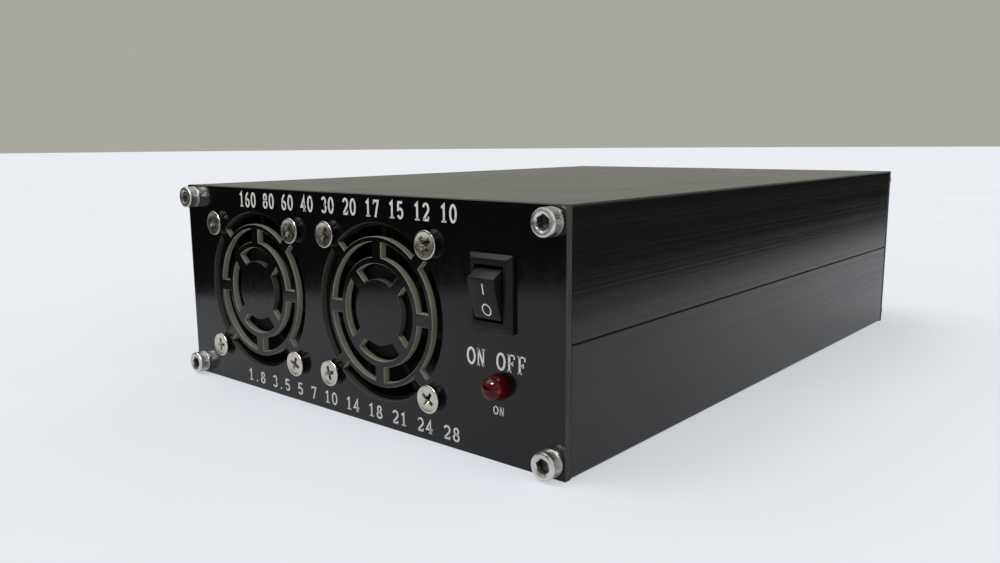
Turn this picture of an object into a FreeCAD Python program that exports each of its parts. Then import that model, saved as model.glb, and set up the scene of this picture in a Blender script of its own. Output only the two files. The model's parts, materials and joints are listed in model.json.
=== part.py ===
"""Parametric model of a small HF linear amplifier with two cooling fans.

The case is two equal aluminium extrusions that interlock at mid-height. Two printed-circuit
panels close it; the front one is milled into grilles for the fans behind it.

Frame: origin at the centre of the underside, +X to the right seen from the front, +Y to the
back, +Z up. All lengths are in millimetres.
"""
import FreeCAD, Part
import math
import os
import Sketcher

V = FreeCAD.Vector

SIZES = (
    ("case_width", 125.0, "width of the extruded case"),
    ("case_length", 180.0, "length of the extruded case"),
    ("half_height", 25.4, "height of one case half"),
    ("wall", 2.2, "wall of the extrusion"),
    ("edge_round", 0.6, "radius of the long outer edges"),
    ("rail_thick", 3.6, "side wall at the seam, where the halves interlock"),
    ("rail_height", 5.0, "height of that thicker stretch"),
    ("tongue_thick", 1.2, "tongue along one seam edge of each half"),
    ("tongue_height", 1.4, "height of the tongue"),
    ("tongue_gap", 0.1, "play of the tongue in its groove, each side"),
    ("seam_bevel", 0.25, "bevel of the outer seam edge"),
    ("guide_slot", 1.8, "width of the board guide slots"),
    ("guide_rib", 1.2, "thickness of a guide rib"),
    ("guide_depth", 2.0, "how far the guide ribs stand out"),
    ("guide_level", 19.0, "height of the guide slot's floor"),
    ("boss_radius", 2.9, "outside of the corner screw channels"),
    ("panel_thick", 1.6, "front and rear panel"),
    ("corner_x", 3.25, "corner screws, from the side of the case"),
    ("corner_z", 3.05, "corner screws, from the top or underside"),
    ("screw_radius", 1.5, "M3 shank"),
    ("channel_play", 0.05, "shank in a threaded channel or nut, radial"),
    ("hole_play", 0.2, "shank in a clearance hole, radial"),
    ("cap_head_radius", 2.7, "socket head of the corner screws"),
    ("cap_head_height", 3.0, "height of that head"),
    ("hex_key_width", 2.5, "hexagon socket across its flats"),
    ("hex_key_depth", 1.7, "depth of the hexagon socket"),
    ("cap_screw_length", 10.0, "corner screw under its head"),
    ("flat_head_radius", 3.0, "countersunk head of the fan screws"),
    ("flat_head_rim", 0.15, "straight rim of that head"),
    ("recess_arm", 1.5, "cross recess, from centre to the end of an arm"),
    ("recess_width", 0.7, "width of an arm of the cross recess"),
    ("recess_depth", 1.1, "depth of the cross recess"),
    ("fan_screw_length", 16.0, "fan screw over all"),
    ("nut_width", 5.5, "M3 nut across its flats"),
    ("nut_thick", 2.4, "M3 nut"),
    ("fan_size", 40.0, "fan frame, square"),
    ("fan_depth", 10.0, "depth of the fan frame"),
    ("fan_holes", 32.0, "pitch of the fan's fixing holes"),
    ("fan_bore", 18.8, "radius of the air way"),
    ("fan_round", 2.5, "corner radius of the fan frame"),
    ("fan_pitch", 45.0, "distance between the two fans' axes"),
    ("fan_share", 0.4, "share of the spare width that lies left of the fans"),
    ("fan_base_thick", 1.5, "motor base and struts of the fan"),
    ("fan_base_radius", 11.3, "motor base of the fan"),
    ("strut_width", 2.4, "struts that hold the motor base"),
    ("hub_radius", 11.0, "outside of the rotor hub"),
    ("hub_wall", 0.9, "skirt of the hub"),
    ("hub_cap", 1.2, "front cap of the hub"),
    ("hub_front_gap", 0.5, "hub cap behind the panel"),
    ("hub_rear_gap", 0.5, "hub and blades in front of the struts"),
    ("blade_tip_gap", 0.5, "blade tip in the air way"),
    ("blade_section", 1.26, "width of a blade along the rim"),
    ("blade_root", 0.85, "how deep a blade sits in the hub"),
    ("blade_turn", 8.0, "how far a blade runs round the hub"),
    ("blade_camber", 14.0, "radius of the curve of a blade's section"),
    ("hub_boss", 0.8, "boss inside the cap that holds the shaft"),
    ("hub_boss_radius", 2.4, "that boss"),
    ("hub_bevel", 0.8, "bevel of the hub's front edge"),
    ("shaft_seat", 0.5, "front end of the shaft behind the hub's face"),
    ("blade_count", 7, "number of blades"),
    ("magnet_thick", 1.1, "ring magnet in the hub"),
    ("magnet_short", 0.6, "magnet short of the skirt's rear edge"),
    ("shaft_radius", 1.0, "fan shaft"),
    ("shaft_play", 0.03, "shaft in its bearing, radial"),
    ("bearing_radius", 1.9, "outside of the bearing sleeve"),
    ("bearing_tube", 2.9, "outside of the tube that holds the bearing"),
    ("bearing_gap", 0.4, "bearing tube behind the hub's boss"),
    ("stator_radius", 8.2, "poles of the stator"),
    ("stator_slot", 2.2, "slot between two poles"),
    ("stator_core", 4.2, "solid middle of the stator, radius"),
    ("motor_board", 9.3, "motor board, radius"),
    ("motor_board_thick", 0.8, "motor board"),
    ("web", 2.8, "bridges between the grille's slots"),
    ("slot_1_in", 7.3, "inner ring of slots, inside radius"),
    ("slot_1_out", 10.7, "inner ring of slots, outside radius"),
    ("slot_2_in", 12.1, "middle ring of slots, inside radius"),
    ("slot_2_out", 15.4, "middle ring of slots, outside radius"),
    ("slot_3_in", 16.5, "outer ring of slots, inside radius"),
    ("slot_3_out", 19.5, "outer ring of slots, outside radius"),
    ("switch_side", 17.1, "middle of the rocker switch, from the side of the case"),
    ("switch_z", 33.5, "height of the rocker switch"),
    ("bezel_width", 10.6, "bezel of the switch"),
    ("bezel_height", 15.0, "bezel of the switch"),
    ("bezel_proud", 1.6, "how far the bezel stands out"),
    ("bezel_bevel", 0.9, "bevel round the bezel"),
    ("switch_width", 8.4, "switch body behind the panel"),
    ("switch_height", 13.2, "switch body behind the panel"),
    ("switch_depth", 12.4, "switch body behind the panel"),
    ("switch_hole_play", 0.05, "switch body in its cut-out, each side"),
    ("well_width", 7.4, "well of the rocker"),
    ("well_height", 10.9, "well of the rocker"),
    ("well_depth", 6.0, "well of the rocker behind the panel face"),
    ("rocker_play", 0.4, "rocker beside the wall of its well"),
    ("rocker_pivot", 0.4, "rocker axis behind the panel face"),
    ("rocker_ridge", 4.2, "rocker axis to the ridge, along the face"),
    ("rocker_rise", 3.3, "rocker axis to the ridge, outwards"),
    ("rocker_foot", 5.05, "rocker axis to the foot of its ends"),
    ("rocker_foot_in", 0.2, "foot of the ends in front of the axis"),
    ("rocker_back", 2.0, "back of the rocker behind its axis"),
    ("rocker_back_reach", 3.6, "half height of that back"),
    ("rocker_hollow", 35.0, "radius of the hollow face"),
    ("pin_reach", 0.35, "rocker pins in the walls of the well"),
    ("wing_reach", 0.5, "snap wings beside the switch body"),
    ("wing_length", 4.0, "snap wings, front to back"),
    ("terminal_width", 4.0, "switch terminal"),
    ("terminal_thick", 0.8, "switch terminal"),
    ("terminal_length", 7.0, "switch terminal"),
    ("terminal_pitch", 7.0, "distance between the switch terminals"),
    ("terminal_hole", 0.8, "radius of the hole in a terminal"),
    ("terminal_hole_place", 4.9, "that hole, from the back of the switch"),
    ("rocker_pin", 0.8, "radius of the rocker's pins"),
    ("rocker_tilt", 15.0, "rocker at rest, in degrees from level"),
    ("led_side", 15.9, "middle of the LED, from the side of the case"),
    ("led_z", 15.2, "height of the LED"),
    ("led_radius", 2.5, "LED body"),
    ("led_proud", 4.0, "how far the LED's tip stands out"),
    ("led_length", 8.7, "LED over all, without its legs"),
    ("led_flange", 1.0, "thickness of the LED's flange"),
    ("led_flange_radius", 2.95, "LED flange"),
    ("led_spacer_radius", 3.25, "outside of the ring between the LED and the panel"),
    ("led_leg_pitch", 2.54, "distance between the LED's legs"),
    ("led_leg", 0.5, "LED leg, square"),
    ("led_leg_length", 11.0, "LED leg"),
    ("board_thick", 1.6, "amplifier board"),
    ("board_play", 0.3, "board edge short of the case wall"),
    ("board_front", 22.0, "case front to the board"),
    ("board_length", 134.0, "amplifier board"),
    ("sink_width", 100.0, "heat sink"),
    ("sink_length", 84.0, "heat sink"),
    ("sink_base", 4.0, "base plate of the heat sink"),
    ("sink_fin", 1.4, "fin of the heat sink"),
    ("sink_fins", 13, "number of fins"),
    ("sink_front", 26.0, "case front to the heat sink"),
    ("spacer_height", 3.0, "spacers between heat sink and board"),
    ("spacer_radius", 2.75, "spacers between heat sink and board"),
    ("spacer_inset", 5.0, "board screws, from the corners of the heat sink"),
    ("sink_hole", 3.6, "depth of the threaded holes in the heat sink"),
    ("pan_head_radius", 2.8, "pan head of the board and transistor screws"),
    ("pan_head_height", 2.0, "that head"),
    ("board_screw_length", 8.0, "board screw under its head"),
    ("tab_screw_length", 4.6, "transistor screw under its head"),
    ("transistor_width", 10.0, "power transistor"),
    ("transistor_length", 15.2, "power transistor with its tab"),
    ("transistor_body", 9.0, "moulded part of the transistor, along its length"),
    ("transistor_thick", 4.4, "moulded part of the transistor"),
    ("tab_thick", 1.3, "metal tab of the transistor"),
    ("tab_hole", 2.8, "hole of the tab, from its end"),
    ("lead_pitch", 2.54, "pitch of the transistor's leads"),
    ("lead_width", 0.8, "transistor lead"),
    ("lead_thick", 0.5, "transistor lead"),
    ("lead_length", 5.5, "transistor lead"),
    ("insulator_pad", 0.3, "insulating pad under a transistor"),
    ("transistor_place", 54.0, "middle of the transistors, from the board's front edge"),
    ("pair_x", 20.0, "middle of each pair of transistors"),
    ("pair_pitch", 12.0, "distance within a pair"),
    ("window_play", 1.0, "board window round a pair"),
    ("output_core_place", 98.0, "output transformer, from the board's front edge"),
    ("output_core_width", 27.0, "ferrite of the output transformer"),
    ("output_core_height", 13.6, "ferrite of the output transformer"),
    ("output_core_length", 26.0, "ferrite of the output transformer"),
    ("output_core_bore", 3.3, "bores of that ferrite"),
    ("end_board", 1.6, "end boards of the output transformer"),
    ("end_board_margin", 0.7, "end boards beyond the ferrite, each side"),
    ("tube_wall", 0.4, "brass tubes in the bores"),
    ("input_core_place", 26.0, "input transformer, from the board's front edge"),
    ("input_core_width", 14.5, "ferrite of the input transformer"),
    ("input_core_height", 7.6, "ferrite of the input transformer"),
    ("input_core_length", 14.0, "ferrite of the input transformer"),
    ("input_core_bore", 1.9, "bores of that ferrite"),
    ("output_strap", 1.4, "square wire of the output transformer"),
    ("input_strap", 0.7, "square wire of the input transformer"),
    ("wire", 1.0, "square section that stands for the wire on the toroids"),
    ("wire_play", 0.12, "wire beside its core"),
    ("coil_turns", 8, "turns on each toroid"),
    ("filter_core_out", 6.35, "filter toroids, outside radius"),
    ("filter_core_in", 3.85, "filter toroids, inside radius"),
    ("filter_core_thick", 4.8, "filter toroids"),
    ("filter_place", 96.0, "first filter toroid, from the board's front edge"),
    ("filter_pitch", 18.0, "pitch of the filter toroids, front to back"),
    ("choke_out", 9.5, "supply choke, outside radius"),
    ("choke_in", 5.0, "supply choke, inside radius"),
    ("choke_thick", 7.0, "supply choke"),
    ("choke_side", 20.5, "supply choke, from the side of the case"),
    ("choke_place", 26.0, "supply choke, from the board's front edge"),
    ("relay_side", 18.5, "middle of the relays, from the side of the case"),
    ("relay_place", 97.0, "middle of the first relay, from the board's front edge"),
    ("relay_pitch", 21.5, "distance between the relays"),
    ("relay_width", 15.5, "relay"),
    ("relay_length", 19.0, "relay"),
    ("relay_height", 15.2, "relay"),
    ("relay_base", 1.2, "base of a relay, below its cover"),
    ("relay_step", 0.4, "cover beyond the base, each side"),
    ("capacitor_side", 20.5, "supply capacitors, from the side of the case"),
    ("capacitor_place", 20.0, "first supply capacitor, from the board's front edge"),
    ("capacitor_pitch", 13.0, "distance between the supply capacitors"),
    ("capacitor_radius", 5.0, "supply capacitor"),
    ("capacitor_height", 16.0, "supply capacitor"),
    ("capacitor_seal", 4.25, "rubber seal under the can, radius"),
    ("capacitor_lift", 1.0, "can above the board"),
    ("disc_width", 5.0, "filter capacitor"),
    ("disc_thick", 2.2, "filter capacitor"),
    ("disc_height", 5.5, "filter capacitor"),
    ("disc_count", 4, "filter capacitors in a row"),
    ("trimmer_x", 18.0, "bias trimmer, from the middle of the case"),
    ("trimmer_place", 22.0, "bias trimmer, from the board's front edge"),
    ("trimmer_side", 9.5, "bias trimmer, square"),
    ("trimmer_height", 4.8, "bias trimmer"),
    ("trimmer_dial", 2.6, "turning part of the trimmer, radius"),
    ("trimmer_dial_thick", 1.6, "turning part of the trimmer"),
    ("trimmer_play", 0.06, "turning part in its recess"),
    ("trimmer_slot", 0.7, "screwdriver slot, width and depth"),
    ("regulator_x", -18.0, "bias regulator, from the middle of the case"),
    ("regulator_place", 22.0, "bias regulator, from the board's front edge"),
    ("regulator_height", 15.0, "bias regulator"),
    ("output_side", 16.5, "middle of the RF output socket, from its side of the case"),
    ("input_side", 48.0, "middle of the RF input socket, from its side of the case"),
    ("flange_width", 25.4, "square flange of an RF socket"),
    ("flange_thick", 2.0, "flange of an RF socket"),
    ("flange_holes", 18.2, "pitch of the flange's holes"),
    ("barrel_radius", 7.94, "threaded barrel of an RF socket"),
    ("barrel_length", 11.0, "threaded barrel of an RF socket"),
    ("barrel_bore", 6.2, "inside of the barrel"),
    ("contact_radius", 2.85, "centre contact of an RF socket"),
    ("contact_bore", 2.0, "hole of the centre contact"),
    ("insulator_front", 4.0, "insulator in the barrel, from the bore's floor"),
    ("insulator_rear", 6.0, "insulator behind the panel"),
    ("insulator_neck", 4.9, "rear part of the insulator, radius"),
    ("contact_stem", 1.6, "stem of the centre contact"),
    ("contact_short", 1.5, "contact short of the barrel's rim"),
    ("cup_radius", 2.2, "solder cup of the centre contact"),
    ("cup_length", 4.0, "solder cup of the centre contact"),
    ("rim_notch", 1.4, "notches in the barrel's rim, width and depth"),
    ("socket_play", 0.05, "insulator and contact in what holds them, radial"),
    ("socket_screw_length", 8.0, "socket and inlet screws under the head"),
    ("jack_side", 27.5, "middle of the keying jack, from the side of the case"),
    ("jack_top", 14.8, "middle of the keying jack, from the top of the case"),
    ("jack_barrel", 4.15, "keying jack, radius of its barrel"),
    ("jack_length", 9.0, "barrel of the keying jack"),
    ("jack_bore", 3.1, "inside of that barrel"),
    ("jack_flange", 5.6, "flange of the keying jack"),
    ("jack_flange_thick", 1.2, "flange of the keying jack"),
    ("jack_neck", 2.95, "threaded neck of the keying jack"),
    ("jack_neck_length", 6.0, "neck behind the panel"),
    ("jack_neck_bore", 1.9, "bore of the neck"),
    ("jack_pin", 1.65, "hole for the plug's pin, radius"),
    ("jack_stem", 0.9, "inner contact of the keying jack"),
    ("jack_nut_width", 8.0, "nut of the keying jack"),
    ("jack_nut_thick", 2.0, "nut of the keying jack"),
    ("inlet_side", 13.5, "middle of the DC inlet, from the side of the case"),
    ("inlet_width", 8.4, "shroud of the DC inlet"),
    ("inlet_height", 16.2, "shroud of the DC inlet"),
    ("inlet_corner", 2.6, "cut corners that key the plug"),
    ("inlet_wall", 1.1, "wall of the shroud"),
    ("inlet_proud", 12.0, "shroud outside its flange"),
    ("inlet_rear", 6.0, "inlet behind the panel"),
    ("inlet_flange_width", 11.0, "flange of the DC inlet"),
    ("inlet_flange_height", 29.4, "flange of the DC inlet"),
    ("inlet_holes", 23.0, "distance between the inlet's screws"),
    ("inlet_pin", 1.75, "pins of the DC inlet"),
    ("inlet_pin_pitch", 7.2, "distance between those pins"),
    ("inlet_pin_short", 4.4, "pins short of the shroud's rim"),
    ("inlet_pin_rear", 4.0, "solder ends of those pins behind the housing"),
    ("vent_margin", 2.0, "exhaust slots beside the flanges of the RF sockets"),
    ("vent_count", 6, "number of exhaust slots"),
    ("vent_width", 2.6, "exhaust slot"),
    ("vent_height", 30.0, "exhaust slot"),
)


class Term:
    """A length: its number, and the spreadsheet expression that gives it."""

    def __init__(self, value, text):
        self.value = value
        self.text = text

    def __add__(self, other):
        other = term(other)
        return Term(self.value + other.value, f"({self.text} + {other.text})")

    def __sub__(self, other):
        other = term(other)
        return Term(self.value - other.value, f"({self.text} - {other.text})")

    def __mul__(self, other):
        other = term(other)
        return Term(self.value * other.value, f"({self.text} * {other.text})")

    def __truediv__(self, other):
        other = term(other)
        return Term(self.value / other.value, f"({self.text} / {other.text})")

    def __neg__(self):
        return Term(-self.value, f"(0 - {self.text})")

    def __radd__(self, other):
        return term(other) + self

    def __rsub__(self, other):
        return term(other) - self

    def __rmul__(self, other):
        return term(other) * self


def term(thing):
    """A plain number becomes a Term; a Term stays one."""
    if isinstance(thing, Term):
        return thing
    return Term(float(thing), f"({thing})")


def root(thing):
    """Square root of a Term."""
    return Term(math.sqrt(thing.value), f"sqrt({thing.text})")


class Sizes:
    """The spreadsheet's cells as Terms, one attribute for each alias."""

    def __init__(self, document):
        sheet = document.addObject("Spreadsheet::Sheet", "Sizes")
        for row, (alias, value, note) in enumerate(SIZES, start=1):
            sheet.set(f"A{row}", note)
            sheet.set(f"B{row}", str(value))
            sheet.setAlias(f"B{row}", alias)
        document.recompute()
        for alias, value, note in SIZES:
            setattr(self, alias, Term(float(getattr(sheet, alias)), f"Sizes.{alias}"))


doc = FreeCAD.newDocument("hf_linear_amplifier")
S = Sizes(doc)
nodes = []

# Planes and levels that many pieces share.
HALF_WIDTH = S.case_width / 2
FRONT_INNER = -S.case_length / 2
FRONT_FACE = FRONT_INNER - S.panel_thick
REAR_INNER = S.case_length / 2
REAR_FACE = REAR_INNER + S.panel_thick
TOP = S.half_height * 2
BOARD_BOTTOM = S.guide_level + (S.guide_slot - S.board_thick) / 2
BOARD_TOP = BOARD_BOTTOM + S.board_thick
SINK_TOP = BOARD_BOTTOM - S.spacer_height
BOARD_START = FRONT_INNER + S.board_front
FAN_REAR = FRONT_INNER + S.fan_depth
FAN_BASE = FAN_REAR - S.fan_base_thick
THREAD_HOLE = S.screw_radius + S.channel_play
CLEAR_HOLE = S.screw_radius + S.hole_play

# Places that follow the sides of the case, the guide ribs and the board's front edge.
RIB_FACE = HALF_WIDTH - S.wall - S.guide_depth
SWITCH_X = HALF_WIDTH - S.switch_side
LED_X = HALF_WIDTH - S.led_side
FAN_ROOM = RIB_FACE + SWITCH_X - S.switch_width / 2 - S.wing_reach
FAN_SPARE = FAN_ROOM - S.fan_pitch - S.fan_size
LEFT_FAN_X = FAN_SPARE * S.fan_share + S.fan_size / 2 - RIB_FACE
OUTPUT_X = S.output_side - HALF_WIDTH
INPUT_X = HALF_WIDTH - S.input_side
SOCKET_Z = S.half_height
JACK_X = HALF_WIDTH - S.jack_side
JACK_Z = TOP - S.jack_top
INLET_X = HALF_WIDTH - S.inlet_side
VENT_EDGE = OUTPUT_X + S.flange_width / 2 + S.vent_margin
VENT_SPAN = INPUT_X - S.flange_width / 2 - S.vent_margin - S.vent_width - VENT_EDGE
TRANSISTOR_Y = BOARD_START + S.transistor_place
CORE_SIDE = S.output_core_width / 2 + S.end_board_margin
COIL_REACH = S.filter_core_out + S.wire + S.wire_play
COIL_GAP = (RIB_FACE - CORE_SIDE - COIL_REACH * 4) / 3
COIL_X = COIL_GAP + COIL_REACH - RIB_FACE
COIL_PITCH = COIL_REACH * 2 + COIL_GAP
COIL_Y = BOARD_START + S.filter_place

SHANK_SIDES = 6       # shanks, threaded holes and nuts
HOLE_SIDES = 8        # clearance holes and other small hidden rounds
RING_SIDES = 12       # wider hidden rounds
HEAD_SIDES = 16       # screw heads
QUARTERS = 4          # slots of a grille ring, struts and poles of a fan, notches of a rim
DIGITS = 6            # decimals of a sine or cosine in an expression

DOME_OUT, DOME_IN = 0.6, 0.2    # a point of a quarter circle, out from its axis and in from its top
CORE_ROUND = 0.45               # corner radius of a ferrite block, as a share of its height
STRAP_STEP = 0.6                # a strap's distance from the core's middle, as a share of its wire
EDGE_TOLERANCE = 0.01           # how near the front an edge lies to be bevelled


# ---------------------------------------------------------------- drawing helpers

def bind(thing, **lengths):
    """Bind properties of an object to Terms; a double underscore stands for a point."""
    for name, length in lengths.items():
        thing.setExpression(name.replace("__", "."), term(length).text)


def body(label):
    """An empty body that will be one node."""
    made = doc.addObject("PartDesign::Body", label)
    made.Label = label
    made.AllowCompound = True
    nodes.append(made)
    return made


def origin_part(owner, role):
    """One of the body's own origin planes or axes."""
    return next(part for part in owner.Origin.OriginFeatures if part.Role == role)


def sketch_on(owner, name, plane, level=0.0):
    """A sketch on one of the body's planes, moved along the plane's normal by level."""
    sketch = owner.newObject("Sketcher::SketchObject", name)
    sketch.AttachmentSupport = [(origin_part(owner, plane), "")]
    sketch.MapMode = "FlatFace"
    bind(sketch, AttachmentOffset__Base__z=level)
    return sketch


def fix(sketch, kind, places, length):
    """A dimension of the sketch, bound to a Term."""
    index = sketch.addConstraint(Sketcher.Constraint(kind, *places, length.value))
    sketch.setExpression(f"Constraints[{index}]", length.text)


def arc_through(start, end, radius):
    """An arc from start to end; a positive radius bulges to the right of the way."""
    chord = end - start
    side = V(chord.y, -chord.x, 0).normalize()
    half = chord.Length / 2
    rise = abs(radius) - math.sqrt(max(0.0, radius * radius - half * half))
    middle = (start + end) / 2 + side * math.copysign(rise, radius)
    return Part.Arc(start, middle, end)


def outline(sketch, corners):
    """A closed outline; a corner is (x, y), or (x, y, radius) where an arc leaves it."""
    corners = [tuple(term(number) for number in corner) for corner in corners]
    points = [V(corner[0].value, corner[1].value, 0) for corner in corners]
    first = sketch.GeometryCount
    for index, corner in enumerate(corners):
        start = points[index]
        end = points[(index + 1) % len(points)]
        if len(corner) == 3:
            sketch.addGeometry(arc_through(start, end, corner[2].value))
        else:
            sketch.addGeometry(Part.LineSegment(start, end))
    for index, corner in enumerate(corners):
        edge = first + index
        start_of = start_point(sketch, edge, points[index])
        before = first + (index - 1) % len(corners)
        end_of = 3 - start_point(sketch, before, points[index - 1])
        sketch.addConstraint(Sketcher.Constraint("Coincident", before, end_of, edge, start_of))
        fix(sketch, "DistanceX", (-1, 1, edge, start_of), corner[0])
        fix(sketch, "DistanceY", (-1, 1, edge, start_of), corner[1])
        if len(corner) == 3:
            radius = corner[2] if corner[2].value > 0 else -corner[2]
            fix(sketch, "Radius", (edge,), radius)


def start_point(sketch, edge, point):
    """Which end of a sketch edge lies at the point: 1 for its start, 2 for its end."""
    gap_1 = (sketch.getPoint(edge, 1) - point).Length
    gap_2 = (sketch.getPoint(edge, 2) - point).Length
    return 1 if gap_1 < gap_2 else 2


def rectangle(sketch, x, y, width, height):
    """A rectangle centred on (x, y)."""
    x, y, width, height = term(x), term(y), term(width), term(height)
    left, right = x - width / 2, x + width / 2
    low, high = y - height / 2, y + height / 2
    outline(sketch, [(left, low), (right, low), (right, high), (left, high)])


def rounded_rectangle(sketch, x, y, width, height, radius):
    """A rectangle with round corners, centred on (x, y)."""
    x, y, width, height = term(x), term(y), term(width), term(height)
    left, right = x - width / 2, x + width / 2
    low, high = y - height / 2, y + height / 2
    outline(sketch, [(left + radius, low), (right - radius, low, radius),
                     (right, low + radius), (right, high - radius, radius),
                     (right - radius, high), (left + radius, high, radius),
                     (left, high - radius), (left, low + radius, radius)])


def circle(sketch, x, y, radius):
    """A circle centred on (x, y)."""
    x, y, radius = term(x), term(y), term(radius)
    edge = sketch.addGeometry(Part.Circle(V(x.value, y.value, 0), V(0, 0, 1), radius.value))
    fix(sketch, "DistanceX", (-1, 1, edge, 3), x)
    fix(sketch, "DistanceY", (-1, 1, edge, 3), y)
    fix(sketch, "Radius", (edge,), radius)


def stadium(sketch, x, y, width, height):
    """An upright slot with round ends, centred on (x, y)."""
    x, y = term(x), term(y)
    radius = term(width) / 2
    reach = term(height) / 2 - radius
    first = sketch.GeometryCount
    for side in (1, -1):
        centre = y + reach * side
        middle = V(x.value, centre.value, 0)
        across = V(radius.value * side, 0, 0)
        top = middle + V(0, radius.value * side, 0)
        edge = sketch.addGeometry(Part.Arc(middle + across, top, middle - across))
        fix(sketch, "DistanceX", (-1, 1, edge, 3), x)
        fix(sketch, "DistanceY", (-1, 1, edge, 3), centre)
        fix(sketch, "DistanceY", (-1, 1, edge, 1), centre)
        fix(sketch, "DistanceY", (-1, 1, edge, 2), centre)
        fix(sketch, "Radius", (edge,), radius)
    for start, end in ((first, first + 1), (first + 1, first)):
        line = Part.LineSegment(sketch.getPoint(start, 2), sketch.getPoint(end, 1))
        edge = sketch.addGeometry(line)
        sketch.addConstraint(Sketcher.Constraint("Coincident", start, 2, edge, 1))
        sketch.addConstraint(Sketcher.Constraint("Coincident", edge, 2, end, 1))


def polygon(sketch, x, y, radius, sides):
    """A regular polygon centred on (x, y), given by the circle through its corners."""
    x, y, radius = term(x), term(y), term(radius)
    corners = []
    for number in range(sides):
        angle = math.tau * number / sides
        corners.append((x + radius * round(math.cos(angle), DIGITS),
                        y + radius * round(math.sin(angle), DIGITS)))
    outline(sketch, corners)


def around(radius, sides):
    """Corner radius of the polygon whose flats touch a circle."""
    return term(radius) / round(math.cos(math.pi / sides), DIGITS)


def hexagon(sketch, x, y, width):
    """A regular hexagon centred on (x, y), given across its flats."""
    polygon(sketch, x, y, around(term(width) / 2, SHANK_SIDES), SHANK_SIDES)


def pad(owner, sketch, length, backwards=False, both=False):
    """Extrude a sketch along its normal, against it, or half to each side."""
    feature = owner.newObject("PartDesign::Pad", sketch.Name + "_pad")
    feature.Profile = sketch
    bind(feature, Length=length)
    feature.Reversed = backwards
    feature.Midplane = both
    return feature


def pocket(owner, sketch, length=None, backwards=False, both=False):
    """Cut a sketch out; without a length it goes right through on both sides."""
    feature = owner.newObject("PartDesign::Pocket", sketch.Name + "_cut")
    feature.Profile = sketch
    if length is None:
        feature.Type = "ThroughAll"
        feature.Midplane = True
    else:
        bind(feature, Length=length)
        feature.Reversed = backwards
        feature.Midplane = both
    return feature


def turn(owner, sketch, feature_type="PartDesign::Revolution"):
    """Turn a sketch about its own vertical axis."""
    feature = owner.newObject(feature_type, sketch.Name + "_turn")
    feature.Profile = sketch
    feature.ReferenceAxis = (sketch, ["V_Axis"])
    feature.Angle = 360
    return feature


def row(owner, axis, length, count=2):
    """A linear pattern along one of the body's axes."""
    pattern = owner.newObject("PartDesign::LinearPattern", "row")
    pattern.Direction = (origin_part(owner, axis), [""])
    bind(pattern, Length=length, Occurrences=count)
    return pattern


def row_back(owner, axis, length):
    """One copy against the direction of an axis."""
    pattern = row(owner, axis, length)
    pattern.Reversed = True
    return pattern


def ring(owner, axis, count):
    """A full circle of copies about one of the body's axes, or a sketch's normal."""
    pattern = owner.newObject("PartDesign::PolarPattern", "ring")
    if isinstance(axis, str):
        pattern.Axis = (origin_part(owner, axis), [""])
    else:
        pattern.Axis = (axis, ["N_Axis"])
    pattern.Angle = 360
    bind(pattern, Occurrences=count)
    return pattern


def spread(owner, features, *steps):
    """Repeat features, or the whole body if there are none, by one pattern after another."""
    doc.recompute()
    spreader = owner.newObject("PartDesign::MultiTransform", "spread")
    if features:
        spreader.Originals = features
    else:
        spreader.TransformMode = "Whole shape"
    spreader.Transformations = [make(owner, *details) for make, *details in steps]
    owner.Tip = spreader


def lathe(label, corners, x, z):
    """A body turned about a line along Y: corners are (radius, place along that line)."""
    made = body(label)
    sketch = sketch_on(made, label + "_profile", "XY_Plane")
    outline(sketch, corners)
    turn(made, sketch)
    bind(made, Placement__Base__x=x, Placement__Base__z=z)
    return made


def box(name, size, corner):
    """A block with its size and its lowest corner."""
    block = doc.addObject("Part::Box", name)
    bind(block, Length=size[0], Width=size[1], Height=size[2])
    bind(block, Placement__Base__x=corner[0], Placement__Base__y=corner[1],
         Placement__Base__z=corner[2])
    return block


def centred_box(name, size, x, y, low):
    """A block centred on (x, y) with its underside at low."""
    return box(name, size, (x - term(size[0]) / 2, y - term(size[1]) / 2, low))


def bar(name, radius, length, start, sides=HOLE_SIDES):
    """An upright bar with flat sides from its start point."""
    prism = doc.addObject("Part::Prism", name)
    prism.Polygon = sides
    bind(prism, Circumradius=radius, Height=length)
    bind(prism, Placement__Base__x=start[0], Placement__Base__y=start[1],
         Placement__Base__z=start[2])
    return prism


def cut(name, base, *tools):
    """The base without the tools."""
    result = doc.addObject("Part::Cut", name)
    result.Base = base
    result.Tool = tools[0] if len(tools) == 1 else fuse(name + "_tools", *tools)
    return result


def fuse(name, *pieces):
    """One solid from several."""
    result = doc.addObject("Part::MultiFuse", name)
    result.Shapes = list(pieces)
    return result


def group(label, *pieces):
    """A node of separate solids, or of one."""
    result = doc.addObject("Part::Compound", label)
    result.Label = label
    result.Links = list(pieces)
    nodes.append(result)
    return result


# ---------------------------------------------------------------- case and panels

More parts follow.
